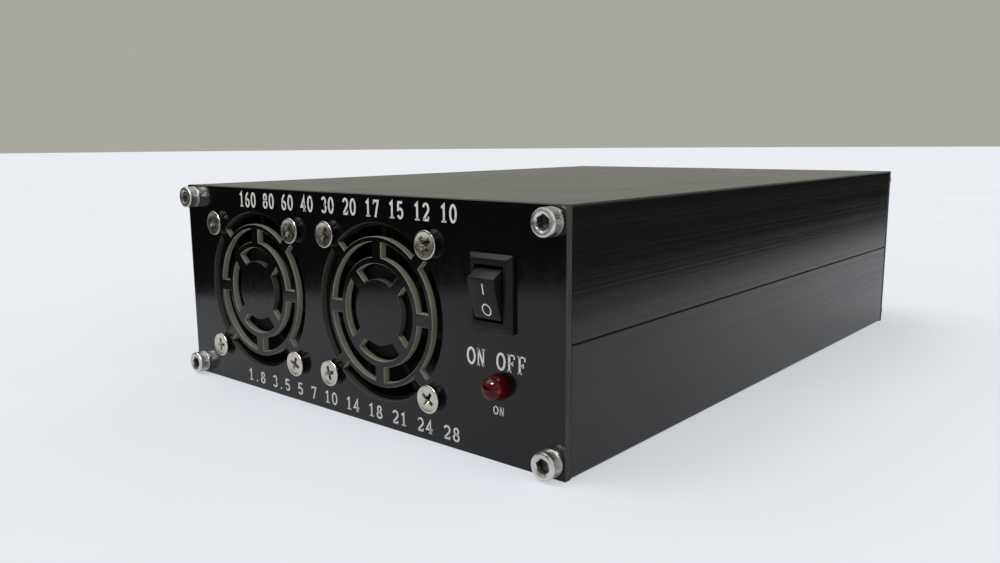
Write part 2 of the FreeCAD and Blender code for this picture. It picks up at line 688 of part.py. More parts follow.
def case_half(label, is_upper):
    """One extrusion: U profile, interlocking seam, guide slots and screw channels."""
    half = body(label)
    profile = sketch_on(half, label + "_profile", "XZ_Plane")
    inner = HALF_WIDTH - S.wall
    rail = HALF_WIDTH - S.rail_thick
    rail_foot = S.half_height - S.rail_height
    tongue_out = HALF_WIDTH - (S.rail_thick - S.tongue_thick) / 2
    tongue_in = tongue_out - S.tongue_thick
    peak = S.half_height + S.tongue_height
    groove_out = tongue_out + S.tongue_gap
    groove_in = tongue_in - S.tongue_gap
    groove_floor = S.half_height - S.tongue_height - S.tongue_gap
    slope = S.rail_thick - S.wall
    outline(profile, [
        (-HALF_WIDTH + S.edge_round, 0), (HALF_WIDTH - S.edge_round, 0, S.edge_round),
        (HALF_WIDTH, S.edge_round), (HALF_WIDTH, S.half_height - S.seam_bevel),
        (HALF_WIDTH - S.seam_bevel, S.half_height), (tongue_out, S.half_height),
        (tongue_out, peak), (tongue_in, peak), (tongue_in, S.half_height),
        (rail, S.half_height), (rail, rail_foot + slope), (inner, rail_foot),
        (inner, S.wall), (-inner, S.wall), (-inner, rail_foot), (-rail, rail_foot + slope),
        (-rail, S.half_height), (-groove_in, S.half_height), (-groove_in, groove_floor),
        (-groove_out, groove_floor), (-groove_out, S.half_height),
        (-HALF_WIDTH + S.seam_bevel, S.half_height), (-HALF_WIDTH, S.half_height - S.seam_bevel),
        (-HALF_WIDTH, S.edge_round, S.edge_round)])
    pad(half, profile, S.case_length, both=True)
    add_guides(half, label, inner)
    add_channels(half, label)
    if is_upper:
        half.Placement = FreeCAD.Placement(V(0, 0, 0), FreeCAD.Rotation(V(0, 1, 0), 180))
        bind(half, Placement__Base__z=TOP)
    return half


def add_guides(half, label, inner):
    """Two ribs on each side wall that leave a slot for the board's edge."""
    ribs = sketch_on(half, label + "_guides", "XZ_Plane")
    overlap = S.wall / 2
    middle = inner - S.guide_depth / 2 + overlap / 2
    depth = S.guide_depth + overlap
    for side in (-1, 1):
        rectangle(ribs, middle * side, S.guide_level - S.guide_rib / 2, depth, S.guide_rib)
        upper_rib = S.guide_level + S.guide_slot + S.guide_rib / 2
        rectangle(ribs, middle * side, upper_rib, depth, S.guide_rib)
    pad(half, ribs, S.case_length, both=True)


def add_channels(half, label):
    """A round boss in each lower corner, with the hole that the corner screws cut into."""
    bosses = sketch_on(half, label + "_bosses", "XZ_Plane")
    holes = sketch_on(half, label + "_channels", "XZ_Plane")
    reach = HALF_WIDTH - S.corner_x
    for side in (-1, 1):
        circle(bosses, reach * side, S.corner_z, S.boss_radius)
        polygon(holes, reach * side, S.corner_z, THREAD_HOLE, SHANK_SIDES)
    pad(half, bosses, S.case_length, both=True)
    pocket(half, holes)


def panel_blank(label, level):
    """A flat panel as high and wide as the case, from level towards the back."""
    panel = body(label)
    sketch = sketch_on(panel, label + "_edge", "XZ_Plane", -level)
    rectangle(sketch, 0, S.half_height, S.case_width, TOP)
    pad(panel, sketch, S.panel_thick, backwards=True)
    return panel


def clearance_holes(panel, name, x, z, *steps):
    """A clearance hole at its lowest left place, repeated."""
    sketch = sketch_on(panel, name, "XZ_Plane", -FRONT_FACE)
    polygon(sketch, x, z, around(CLEAR_HOLE, HOLE_SIDES), HOLE_SIDES)
    first = pocket(panel, sketch)
    spread(panel, [first], *steps)


def corner_rows():
    """The pattern steps that reach all four corner screws from the first."""
    return (row, "X_Axis", (HALF_WIDTH - S.corner_x) * 2), (row, "Z_Axis", TOP - S.corner_z * 2)


def corner_holes(panel):
    """Clearance holes for the four corner screws."""
    clearance_holes(panel, panel.Label + "_corners", S.corner_x - HALF_WIDTH, S.corner_z,
                    *corner_rows())


def fan_centres():
    """The two fan axes, left then right."""
    return (LEFT_FAN_X, LEFT_FAN_X + S.fan_pitch)


def grille_slot(panel, name, inside, outside, angle):
    """One slot between two radii of the left fan, with its ends parallel to the bridges."""
    sketch = sketch_on(panel, name, "XZ_Plane")
    sketch.AttachmentOffset = FreeCAD.Placement(V(0, 0, 0), FreeCAD.Rotation(V(0, 0, 1), angle))
    bind(sketch, AttachmentOffset__Base__x=fan_centres()[0],
         AttachmentOffset__Base__y=S.half_height, AttachmentOffset__Base__z=-FRONT_FACE)
    ends = []
    for radius in (inside, outside):
        flat = root(radius * radius - S.web * S.web / 4)
        rise = (flat - S.web / 2) / math.sqrt(2)
        reach = (flat + S.web / 2) / math.sqrt(2)
        ends.append((reach, rise))
    (reach_in, rise_in), (reach_out, rise_out) = ends
    outline(sketch, [(reach_in, -rise_in), (reach_out, -rise_out, outside),
                     (reach_out, rise_out), (reach_in, rise_in, -inside)])
    return pocket(panel, sketch)


def grille(panel):
    """Three rings of four slots in front of each fan."""
    rings = ((S.slot_1_in, S.slot_1_out, 0), (S.slot_2_in, S.slot_2_out, 45),
             (S.slot_3_in, S.slot_3_out, 0))
    for number, (inside, outside, angle) in enumerate(rings, start=1):
        slot = grille_slot(panel, f"grille_ring_{number}", inside, outside, angle)
        spread(panel, [slot], (ring, slot.Profile[0], QUARTERS), (row, "X_Axis", S.fan_pitch))


def front_panel():
    """The front panel: grilles, fan screws, switch cut-out, LED and corner holes."""
    panel = panel_blank("front_panel", FRONT_FACE)
    holes = sketch_on(panel, "front_holes", "XZ_Plane", -FRONT_FACE)
    circle(holes, LED_X, S.led_z, S.led_radius + S.switch_hole_play)
    rectangle(holes, SWITCH_X, S.switch_z, S.switch_width + S.switch_hole_play * 2,
              S.switch_height + S.switch_hole_play * 2)
    pocket(panel, holes)
    corner_holes(panel)
    clearance_holes(panel, "fan_holes", fan_centres()[0] - S.fan_holes / 2,
                    S.half_height - S.fan_holes / 2, *fan_screw_rows())
    grille(panel)


def rear_panel():
    """The rear panel: sockets, keying jack, DC inlet and a row of exhaust slots."""
    panel = panel_blank("rear_panel", REAR_INNER)
    holes = sketch_on(panel, "rear_holes", "XZ_Plane", -REAR_INNER)
    for centre in (OUTPUT_X, INPUT_X):
        polygon(holes, centre, SOCKET_Z, around(S.barrel_radius + S.hole_play, RING_SIDES),
                RING_SIDES)
    polygon(holes, JACK_X, JACK_Z, S.jack_neck + S.socket_play, RING_SIDES)
    rectangle(holes, INLET_X, SOCKET_Z, S.inlet_width + S.hole_play * 2,
              S.inlet_height + S.hole_play * 2)
    pocket(panel, holes)
    corner_holes(panel)
    clearance_holes(panel, "socket_holes", OUTPUT_X - S.flange_holes / 2,
                    SOCKET_Z - S.flange_holes / 2, *socket_screw_rows())
    clearance_holes(panel, "inlet_screw_holes", INLET_X, SOCKET_Z - S.inlet_holes / 2,
                    (row, "Z_Axis", S.inlet_holes))
    vents = sketch_on(panel, "vents", "XZ_Plane", -REAR_INNER)
    stadium(vents, VENT_EDGE + S.vent_width / 2, S.half_height, S.vent_width, S.vent_height)
    vent = pocket(panel, vents)
    spread(panel, [vent], (row, "X_Axis", VENT_SPAN, S.vent_count))


def hex_shank(screws, name, z, seat, length, runs_back):
    """A shank along Y, from the plane where it leaves the head."""
    sketch = sketch_on(screws, name, "XZ_Plane", -seat)
    polygon(sketch, 0, z, S.screw_radius, SHANK_SIDES)
    pad(screws, sketch, length, backwards=runs_back)


def socket_screw_rows():
    """The pattern steps that reach all eight socket screws from the first."""
    return ((row, "X_Axis", S.flange_holes), (row, "X_Axis", INPUT_X - OUTPUT_X),
            (row, "Z_Axis", S.flange_holes))


def corner_screws(label, level, faces_front):
    """Four socket-head cap screws that hold a panel to the screw channels."""
    screws = body(label)
    head = sketch_on(screws, label + "_head", "XZ_Plane", -level)
    polygon(head, 0, S.corner_z, S.cap_head_radius, HEAD_SIDES)
    pad(screws, head, S.cap_head_height, backwards=not faces_front)
    hex_shank(screws, label + "_shank", S.corner_z, level, S.cap_screw_length, faces_front)
    face = level - S.cap_head_height if faces_front else level + S.cap_head_height
    socket = sketch_on(screws, label + "_socket", "XZ_Plane", -face)
    hexagon(socket, 0, S.corner_z, S.hex_key_width)
    pocket(screws, socket, S.hex_key_depth, backwards=not faces_front)
    spread(screws, [], *corner_rows())
    bind(screws, Placement__Base__x=S.corner_x - HALF_WIDTH)


def fan_screw_rows():
    """The pattern steps that reach all eight fan screws from the first."""
    return ((row, "X_Axis", S.fan_holes), (row, "X_Axis", S.fan_pitch),
            (row, "Z_Axis", S.fan_holes))


def place_at_first_fan_hole(fastener):
    """Put a fastener drawn on the axis at the lower left fan hole."""
    bind(fastener, Placement__Base__x=fan_centres()[0] - S.fan_holes / 2,
         Placement__Base__z=S.half_height - S.fan_holes / 2)


def fan_screws():
    """Countersunk screws whose heads sit on the edge of straight holes, so they stand proud."""
    screws = body("fan_screws")
    face = FRONT_FACE - (S.flat_head_rim + S.flat_head_radius - CLEAR_HOLE)
    rim = face + S.flat_head_rim
    neck = rim + S.flat_head_radius - S.screw_radius
    rim_edge = sketch_on(screws, "fan_screw_rim", "XZ_Plane", -face)
    polygon(rim_edge, 0, 0, S.flat_head_radius, HEAD_SIDES)
    pad(screws, rim_edge, S.flat_head_rim, backwards=True)
    wide = sketch_on(screws, "fan_screw_cone", "XZ_Plane", -rim)
    narrow = sketch_on(screws, "fan_screw_neck", "XZ_Plane", -neck)
    for sketch, radius in ((wide, S.flat_head_radius), (narrow, S.screw_radius)):
        polygon(sketch, 0, 0, radius, HEAD_SIDES)
    cone = screws.newObject("PartDesign::AdditiveLoft", "fan_screw_head")
    cone.Profile = wide
    cone.Sections = [narrow]
    cone.Ruled = True
    hex_shank(screws, "fan_screw_shank", 0, neck, S.fan_screw_length - (neck - face), True)
    recess = sketch_on(screws, "fan_screw_recess", "XZ_Plane", -face)
    arm, half = S.recess_arm, S.recess_width / 2
    outline(recess, [(-half, -arm), (half, -arm), (half, -half), (arm, -half), (arm, half),
                     (half, half), (half, arm), (-half, arm), (-half, half), (-arm, half),
                     (-arm, -half), (-half, -half)])
    pocket(screws, recess, S.recess_depth)
    spread(screws, [], *fan_screw_rows())
    place_at_first_fan_hole(screws)


def fan_nuts():
    """Hexagon nuts on the fan screws, behind the fan frames."""
    nuts = body("fan_nuts")
    sketch = sketch_on(nuts, "fan_nut_outline", "XZ_Plane", -FAN_REAR)
    hexagon(sketch, 0, 0, S.nut_width)
    polygon(sketch, 0, 0, THREAD_HOLE, SHANK_SIDES)
    pad(nuts, sketch, S.nut_thick, backwards=True)
    spread(nuts, [], *fan_screw_rows())
    place_at_first_fan_hole(nuts)


# ---------------------------------------------------------------- fans

HUB_FRONT = FRONT_INNER + S.hub_front_gap
HUB_INNER = HUB_FRONT + S.hub_cap
BLADE_REAR = FAN_BASE - S.hub_rear_gap
TUBE_FRONT = HUB_INNER + S.hub_boss + S.bearing_gap
BLADE_TIP = S.fan_bore - S.blade_tip_gap
SKIRT_INNER = S.hub_radius - S.hub_wall


def put_on_fan_axis(piece, x):
    """Move a piece drawn about the Y axis to a fan's axis."""
    bind(piece, Placement__Base__x=x, Placement__Base__z=S.half_height)


def fan_frame(label, x):
    """Square frame with the air way, a motor base on four struts and the bearing tube."""
    frame = body(label)
    square = sketch_on(frame, label + "_square", "XZ_Plane", -FRONT_INNER)
    rounded_rectangle(square, 0, 0, S.fan_size, S.fan_size, S.fan_round)
    pad(frame, square, S.fan_depth, backwards=True)
    holes = sketch_on(frame, label + "_holes", "XZ_Plane", -FRONT_INNER)
    polygon(holes, 0, 0, S.fan_bore, RING_SIDES * 3)
    for side in (-1, 1):
        for height in (-1, 1):
            polygon(holes, S.fan_holes / 2 * side, S.fan_holes / 2 * height, CLEAR_HOLE,
                    HOLE_SIDES)
    pocket(frame, holes)
    base = sketch_on(frame, label + "_base", "XZ_Plane", -FAN_BASE)
    polygon(base, 0, 0, S.fan_base_radius, RING_SIDES * 2)
    pad(frame, base, S.fan_base_thick, backwards=True)
    strut = sketch_on(frame, label + "_strut", "XZ_Plane", -FAN_BASE)
    embed = (S.fan_size / 2 - S.fan_bore) / 2
    inside, outside = S.fan_base_radius - embed, S.fan_bore + embed
    rectangle(strut, (inside + outside) / 2, 0, outside - inside, S.strut_width)
    strut_pad = pad(frame, strut, S.fan_base_thick, backwards=True)
    spread(frame, [strut_pad], (ring, strut, QUARTERS))
    tube = sketch_on(frame, label + "_tube", "XZ_Plane", -TUBE_FRONT)
    polygon(tube, 0, 0, S.bearing_tube, RING_SIDES)
    polygon(tube, 0, 0, S.bearing_radius + S.shaft_play, RING_SIDES)
    pad(frame, tube, FAN_BASE - TUBE_FRONT, backwards=True)
    put_on_fan_axis(frame, x)


def fan_blades(rotor, label):
    """Cambered blades, wide enough to reach the trim that gives their tips the bore's curve."""
    root_level = S.hub_radius - S.blade_root
    section = sketch_on(rotor, label + "_blade", "YZ_Plane", root_level)
    front, half = HUB_FRONT + S.hub_bevel, S.blade_turn / 2
    width = S.blade_section
    outline(section, [(front, -half, S.blade_camber), (BLADE_REAR, half - width),
                      (BLADE_REAR, half, -S.blade_camber), (front, -half + width)])
    blade = pad(rotor, section, S.fan_bore - root_level)
    spread(rotor, [blade], (ring, "Y_Axis", S.blade_count))


def fan_rotor(label, x):
    """Hub cup with cambered blades whose tips follow the round air way."""
    rotor = body(label)
    hub = sketch_on(rotor, label + "_hub", "XY_Plane")
    hole = S.shaft_radius + S.shaft_play
    seat = HUB_FRONT + S.shaft_seat
    boss_end = HUB_INNER + S.hub_boss
    outline(hub, [(0, HUB_FRONT), (S.hub_radius - S.hub_bevel, HUB_FRONT),
                  (S.hub_radius, HUB_FRONT + S.hub_bevel), (S.hub_radius, BLADE_REAR),
                  (SKIRT_INNER, BLADE_REAR), (SKIRT_INNER, HUB_INNER),
                  (S.hub_boss_radius, HUB_INNER), (S.hub_boss_radius, boss_end),
                  (hole, boss_end), (hole, seat), (0, seat)])
    turn(rotor, hub)
    fan_blades(rotor, label)
    trim = sketch_on(rotor, label + "_trim", "XY_Plane")
    outline(trim, [(BLADE_TIP, FRONT_INNER), (S.fan_size, FRONT_INNER), (S.fan_size, FAN_REAR),
                   (BLADE_TIP, FAN_REAR)])
    turn(rotor, trim, "PartDesign::Groove")
    put_on_fan_axis(rotor, x)


def motor_part(label):
    """A body drawn on the left fan's axis."""
    piece = body(label)
    put_on_fan_axis(piece, fan_centres()[0])
    return piece


def motor_ring(piece, name, inside, outside, front, rear):
    """A flat-sided ring about the fan axis; its flats clear the inner circle."""
    sketch = sketch_on(piece, name, "XZ_Plane", -front)
    polygon(sketch, 0, 0, outside, RING_SIDES)
    polygon(sketch, 0, 0, around(inside, RING_SIDES), RING_SIDES)
    pad(piece, sketch, rear - front, backwards=True)


def fan_stators(front, rear):
    """Laminated cores with four poles, over the bearing tubes."""
    stators = motor_part("fan_stators")
    motor_ring(stators, "stator_core", S.bearing_tube + S.shaft_play, S.stator_radius, front, rear)
    slot = sketch_on(stators, "stator_slot", "XZ_Plane")
    reach = S.stator_radius - S.stator_core + S.stator_slot
    rectangle(slot, S.stator_core + reach / 2, 0, reach, S.stator_slot)
    gap = pocket(stators, slot)
    spread(stators, [gap], (ring, slot, QUARTERS))
    spread(stators, [], (row, "X_Axis", S.fan_pitch))


def fan_coils(front, rear):
    """Four coils in the slots of each stator."""
    coils = motor_part("fan_coils")
    block = sketch_on(coils, "coil_block", "XZ_Plane", -front)
    depth = S.stator_radius - S.stator_core - S.stator_slot / 2
    rectangle(block, S.stator_core + S.shaft_play + depth / 2, 0, depth,
              S.stator_slot - S.shaft_play * 2)
    pad(coils, block, rear - front, backwards=True)
    spread(coils, [], (ring, "Y_Axis", QUARTERS), (row, "X_Axis", S.fan_pitch))


def fan_bearings():
    """Sleeve bearings in the tubes, with round holes for the shafts."""
    bearings = motor_part("fan_bearings")
    sketch = sketch_on(bearings, "bearing_sleeve", "XZ_Plane", -TUBE_FRONT)
    polygon(sketch, 0, 0, S.bearing_radius, RING_SIDES)
    circle(sketch, 0, 0, S.shaft_radius + S.shaft_play)
    pad(bearings, sketch, FAN_BASE - TUBE_FRONT, backwards=True)
    spread(bearings, [], (row, "X_Axis", S.fan_pitch))


def fan_motors():
    """The fixed parts of both motors, stacked from the motor base towards the front."""
    board_front = FAN_BASE - S.motor_board_thick
    stator_front = TUBE_FRONT + S.bearing_gap
    fan_stators(stator_front, board_front)
    fan_coils(stator_front, board_front)
    fan_bearings()
    boards = motor_part("fan_motor_boards")
    motor_ring(boards, "motor_board", S.bearing_tube + S.shaft_play, S.motor_board,
               board_front, FAN_BASE)
    spread(boards, [], (row, "X_Axis", S.fan_pitch))


def fan(side, x):
    """The frame and the turning pieces of one fan."""
    fan_frame(side + "_fan_frame", x)
    fan_rotor(side + "_fan_rotor", x)
    magnet = body(side + "_fan_magnet")
    magnet_out = SKIRT_INNER - S.shaft_play
    motor_ring(magnet, side + "_magnet_ring", magnet_out - S.magnet_thick, magnet_out,
               HUB_INNER, BLADE_REAR - S.magnet_short)
    put_on_fan_axis(magnet, x)
    shaft = body(side + "_fan_shaft")
    shaft_front = HUB_FRONT + S.shaft_seat
    sketch = sketch_on(shaft, side + "_shaft_end", "XZ_Plane", -shaft_front)
    circle(sketch, 0, 0, S.shaft_radius)
    pad(shaft, sketch, FAN_BASE - S.bearing_gap - shaft_front, backwards=True)
    put_on_fan_axis(shaft, x)


# ---------------------------------------------------------------- switch and LED

def switch_housing():
    """Bevelled bezel, body with snap wings, and the well that the rocker swings in."""
    housing = body("switch_housing")
    bezel = sketch_on(housing, "switch_bezel", "XZ_Plane", -FRONT_FACE)
    rectangle(bezel, 0, 0, S.bezel_width, S.bezel_height)
    bezel_pad = pad(housing, bezel, S.bezel_proud)
    bevel_front_edges(housing, bezel_pad)
    trunk = sketch_on(housing, "switch_trunk", "XZ_Plane", -FRONT_FACE)
    rectangle(trunk, 0, 0, S.switch_width, S.switch_height)
    pad(housing, trunk, S.switch_depth, backwards=True)
    wings = sketch_on(housing, "switch_wings", "XY_Plane")
    foot = FRONT_INNER + S.switch_hole_play
    for side in (-1, 1):
        root_x = (S.switch_width / 2 - S.wing_reach / 2) * side
        tip_x = (S.switch_width / 2 + S.wing_reach) * side
        outline(wings, [(root_x, foot), (tip_x, foot), (root_x, foot + S.wing_length)])
    pad(housing, wings, S.well_height / 2, both=True)
    well = sketch_on(housing, "switch_well", "XZ_Plane", -(FRONT_FACE - S.bezel_proud))
    rectangle(well, 0, 0, S.well_width, S.well_height)
    pocket(housing, well, S.bezel_proud + S.well_depth)
    pivot = sketch_on(housing, "switch_pivot", "YZ_Plane")
    circle(pivot, FRONT_FACE + S.rocker_pivot, 0, S.rocker_pin + S.shaft_play)
    pocket(housing, pivot, S.well_width + (S.pin_reach + S.shaft_play) * 2, both=True)
    bind(housing, Placement__Base__x=SWITCH_X, Placement__Base__z=S.switch_z)


def bevel_front_edges(housing, bezel_pad):
    """Chamfer the front edges of the bezel."""
    doc.recompute()
    front = bezel_pad.Shape.BoundBox.YMin
    names = [f"Edge{number}" for number, edge in enumerate(bezel_pad.Shape.Edges, start=1)
             if abs(edge.BoundBox.YMax - front) < EDGE_TOLERANCE]
    bevel = housing.newObject("PartDesign::Chamfer", "switch_bevel")
    bevel.Base = (bezel_pad, names)
    bind(bevel, Size=S.bezel_bevel)


def switch_rocker():
    """Rocker with a slightly hollow face and two pins, tilted to its OFF position."""
    rocker = body("switch_rocker")
    side = sketch_on(rocker, "rocker_side", "YZ_Plane")
    outline(side, [(-S.rocker_rise, S.rocker_ridge, S.rocker_hollow),
                   (-S.rocker_rise, -S.rocker_ridge), (-S.rocker_foot_in, -S.rocker_foot),
                   (S.rocker_back, -S.rocker_back_reach), (S.rocker_back, S.rocker_back_reach),
                   (-S.rocker_foot_in, S.rocker_foot)])
    pad(rocker, side, S.well_width - S.rocker_play * 2, both=True)
    pins = sketch_on(rocker, "rocker_pins", "YZ_Plane")
    circle(pins, 0, 0, S.rocker_pin)
    pad(rocker, pins, S.well_width + S.pin_reach * 2, both=True)
    rocker.Placement = FreeCAD.Placement(V(0, 0, 0),
                                         FreeCAD.Rotation(V(1, 0, 0), S.rocker_tilt.value))
    bind(rocker, Placement__Base__x=SWITCH_X, Placement__Base__y=FRONT_FACE + S.rocker_pivot,
         Placement__Base__z=S.switch_z)


def switch_terminals():
    """Two flat terminals with a solder hole, on the back of the switch."""
    back = FRONT_FACE + S.switch_depth
    blades = []
    for side in (-1, 1):
        low = S.switch_z + S.terminal_pitch / 2 * side - S.terminal_thick / 2
        blade = centred_box("terminal_blade",
                            (S.terminal_width, S.terminal_length, S.terminal_thick),
                            SWITCH_X, back + S.terminal_length / 2, low)
        hole = bar("terminal_hole", S.terminal_hole, S.terminal_thick,
                   (SWITCH_X, back + S.terminal_hole_place, low))
        blades.append(cut("terminal", blade, hole))
    group("switch_terminals", *blades)


def power_led():
    """Lens, the spacer ring behind the panel, and two legs."""
    tip = FRONT_FACE - S.led_proud
    end = tip + S.led_length
    collar = end - S.led_flange
    radius = S.led_radius
    lens = lathe("led_lens", [(0, tip), (radius * DOME_OUT, tip + radius * DOME_IN),
                              (radius, tip + radius), (radius, end), (0, end)], LED_X, S.led_z)
    flange = sketch_on(lens, "led_flange", "XZ_Plane", -collar)
    polygon(flange, 0, 0, S.led_flange_radius, RING_SIDES)
    pad(lens, flange, S.led_flange, backwards=True)
    spacer = body("led_spacer")
    motor_ring(spacer, "led_spacer_ring", radius + S.switch_hole_play,
               S.led_spacer_radius, FRONT_INNER, collar)
    bind(spacer, Placement__Base__x=LED_X, Placement__Base__z=S.led_z)
    legs = []
    for side in (-1, 1):
        legs.append(centred_box("led_leg", (S.led_leg, S.led_leg_length, S.led_leg),
                                LED_X + S.led_leg_pitch / 2 * side,
                                end + S.led_leg_length / 2, S.led_z - S.led_leg / 2))
    group("led_legs", *legs)


# ---------------------------------------------------------------- heat sink and board

SINK_START = FRONT_INNER + S.sink_front
SINK_MIDDLE = SINK_START + S.sink_length / 2
BOARD_WIDTH = S.case_width - (S.wall + S.board_play) * 2
TAB_BOTTOM = SINK_TOP + S.insulator_pad
TAB_HOLE_Y = TRANSISTOR_Y + S.transistor_length / 2 - S.tab_hole


def board_screw_places():
    """Where the four board screws stand."""
    reach_x = S.sink_width / 2 - S.spacer_inset
    reach_y = S.sink_length / 2 - S.spacer_inset
    return [(reach_x * side, SINK_MIDDLE + reach_y * way) for side in (-1, 1) for way in (-1, 1)]


def transistor_places():
    """The middles of the four power transistors, left to right."""
    return [S.pair_x * side + S.pair_pitch / 2 * way for side in (-1, 1) for way in (-1, 1)]


def heat_sink():
    """Extruded heat sink that stands on its fins, with threaded holes in its base plate."""
    sink = body("heat_sink")
    plate = sketch_on(sink, "sink_plate", "XZ_Plane", -SINK_START)
    rectangle(plate, 0, SINK_TOP - S.sink_base / 2, S.sink_width, S.sink_base)
    pad(sink, plate, S.sink_length, backwards=True)
    fin = sketch_on(sink, "sink_fin_outline", "XZ_Plane", -SINK_START)
    fin_top = SINK_TOP - S.sink_base / 2
    rectangle(fin, (S.sink_fin - S.sink_width) / 2, (S.wall + fin_top) / 2, S.sink_fin,
              fin_top - S.wall)
    first_fin = pad(sink, fin, S.sink_length, backwards=True)
    spread(sink, [first_fin], (row, "X_Axis", S.sink_width - S.sink_fin, S.sink_fins))
    holes = sketch_on(sink, "sink_holes", "XY_Plane", SINK_TOP)
    for x, y in board_screw_places():
        polygon(holes, x, y, THREAD_HOLE, SHANK_SIDES)
    for x in transistor_places():
        polygon(holes, x, TAB_HOLE_Y, THREAD_HOLE, SHANK_SIDES)
    pocket(sink, holes, S.sink_hole)


def amplifier_board():
    """Circuit board in the guide slots, with a window round each pair of transistors."""
    board = body("amplifier_board")
    sheet = sketch_on(board, "board_outline", "XY_Plane", BOARD_BOTTOM)
    rectangle(sheet, 0, BOARD_START + S.board_length / 2, BOARD_WIDTH, S.board_length)
    for side in (-1, 1):
        rectangle(sheet, S.pair_x * side, TRANSISTOR_Y,
                  S.pair_pitch + S.transistor_width + S.window_play * 2,
                  S.transistor_length + S.window_play * 2)
    for x, y in board_screw_places():
        polygon(sheet, x, y, CLEAR_HOLE, HOLE_SIDES)
    pad(board, sheet, S.board_thick)


def power_transistor(x):
    """A transistor that lies flat on the heat sink, with its leads under the board."""
    front = TRANSISTOR_Y - S.transistor_length / 2
    tab = centred_box("tab", (S.transistor_width, S.transistor_length, S.tab_thick),
                      x, TRANSISTOR_Y, TAB_BOTTOM)
    hole = bar("tab_hole", CLEAR_HOLE, S.tab_thick, (x, TAB_HOLE_Y, TAB_BOTTOM))
    mould = centred_box("mould", (S.transistor_width, S.transistor_body, S.transistor_thick),
                        x, front + S.transistor_body / 2, TAB_BOTTOM)
    pieces = [cut("tab_plate", tab, hole), mould]
    lead_low = BOARD_BOTTOM - S.channel_play - S.lead_thick
    for step in (-1, 0, 1):
        pieces.append(centred_box("lead", (S.lead_width, S.lead_length, S.lead_thick),
                                  x + S.lead_pitch * step, front - S.lead_length / 2, lead_low))
    return fuse("transistor", *pieces)


def pan_screw(name, x, y, under_head, length):
    """A pan-head screw pointing down."""
    shank = bar(name + "_shank", S.screw_radius, length, (x, y, under_head - length), SHANK_SIDES)
    head = bar(name + "_head", S.pan_head_radius, S.pan_head_height, (x, y, under_head),
               RING_SIDES)
    return fuse(name, shank, head)


def board_fasteners():
    """Spacers and screws of the board, with the pads and screws of the transistors."""
    spacers, screws, pads = [], [], []
    for x, y in board_screw_places():
        post = bar("spacer_post", S.spacer_radius, S.spacer_height, (x, y, SINK_TOP))
        hole = bar("spacer_hole", CLEAR_HOLE, S.spacer_height, (x, y, SINK_TOP))
        spacers.append(cut("spacer", post, hole))
        screws.append(pan_screw("board_screw", x, y, BOARD_TOP, S.board_screw_length))
    for x in transistor_places():
        screws.append(pan_screw("tab_screw", x, TAB_HOLE_Y, TAB_BOTTOM + S.tab_thick,
                                S.tab_screw_length))
        foil = centred_box("pad_foil", (S.transistor_width, S.transistor_length,
                                        S.insulator_pad), x, TRANSISTOR_Y, SINK_TOP)
        hole = bar("pad_hole", CLEAR_HOLE, S.insulator_pad, (x, TAB_HOLE_Y, SINK_TOP))
        pads.append(cut("pad_sheet", foil, hole))
    group("rf_transistors", *[power_transistor(x) for x in transistor_places()])
    group("board_spacers", *spacers)
    group("board_screws", *screws)
    group("transistor_pads", *pads)


# ---------------------------------------------------------------- parts on the board

def strap_loops(winding, name, reach, length, wire):
    """Two flat turns of wire through both bores of a transformer core, round its end faces."""
    for number, side in enumerate((-1, 1), start=1):
        sketch = sketch_on(winding, f"{name}_{number}", "XY_Plane", wire * STRAP_STEP * side)
        rectangle(sketch, 0, 0, (reach + wire / 2) * 2, length + wire * 2)
        rectangle(sketch, 0, 0, (reach - wire / 2) * 2, length)
        pad(winding, sketch, wire, both=True)


def twin_bore_block(owner, name, width, height, length, bore, start):
    """A ferrite block with round sides and two bores along Y."""
    sketch = sketch_on(owner, name, "XZ_Plane", -start)
    rounded_rectangle(sketch, 0, 0, width, height, height * CORE_ROUND)
    for side in (-1, 1):
        polygon(sketch, width / 4 * side, 0, around(bore, RING_SIDES), RING_SIDES)
    pad(owner, sketch, length, backwards=True)


def output_transformer():
    """Ferrite block between two end boards, brass tubes in its bores, and a winding."""
    length, bore = S.output_core_length, S.output_core_bore
    half_ends = S.output_core_height / 2 + S.end_board_margin
    level = BOARD_TOP + half_ends
    core = body("output_transformer_core")
    twin_bore_block(core, "output_ferrite", S.output_core_width, S.output_core_height, length,
                    bore, -length / 2)
    ends = body("output_transformer_ends")
    face = sketch_on(ends, "end_board_face", "XZ_Plane", -(length / 2))
    rectangle(face, 0, 0, S.output_core_width + S.end_board_margin * 2, half_ends * 2)
    for side in (-1, 1):
        polygon(face, S.output_core_width / 4 * side, 0, around(bore, RING_SIDES), RING_SIDES)
    pad(ends, face, S.end_board, backwards=True)
    spread(ends, [], (row_back, "Y_Axis", length + S.end_board))
    tubes = body("output_transformer_tubes")
    section = sketch_on(tubes, "tube_section", "XZ_Plane", length / 2 + S.end_board)
    tube_out = bore - S.wire_play
    for side in (-1, 1):
        for radius in (tube_out, tube_out - S.tube_wall):
            polygon(section, S.output_core_width / 4 * side, 0, radius, RING_SIDES)
    pad(tubes, section, length + S.end_board * 2, backwards=True)
    winding = body("output_transformer_winding")
    over_all = length + S.end_board * 2 + S.wire_play * 2
    strap_loops(winding, "output_turn", S.output_core_width / 4, over_all, S.output_strap)
    for piece in (core, ends, tubes, winding):
        bind(piece, Placement__Base__y=BOARD_START + S.output_core_place,
             Placement__Base__z=level)


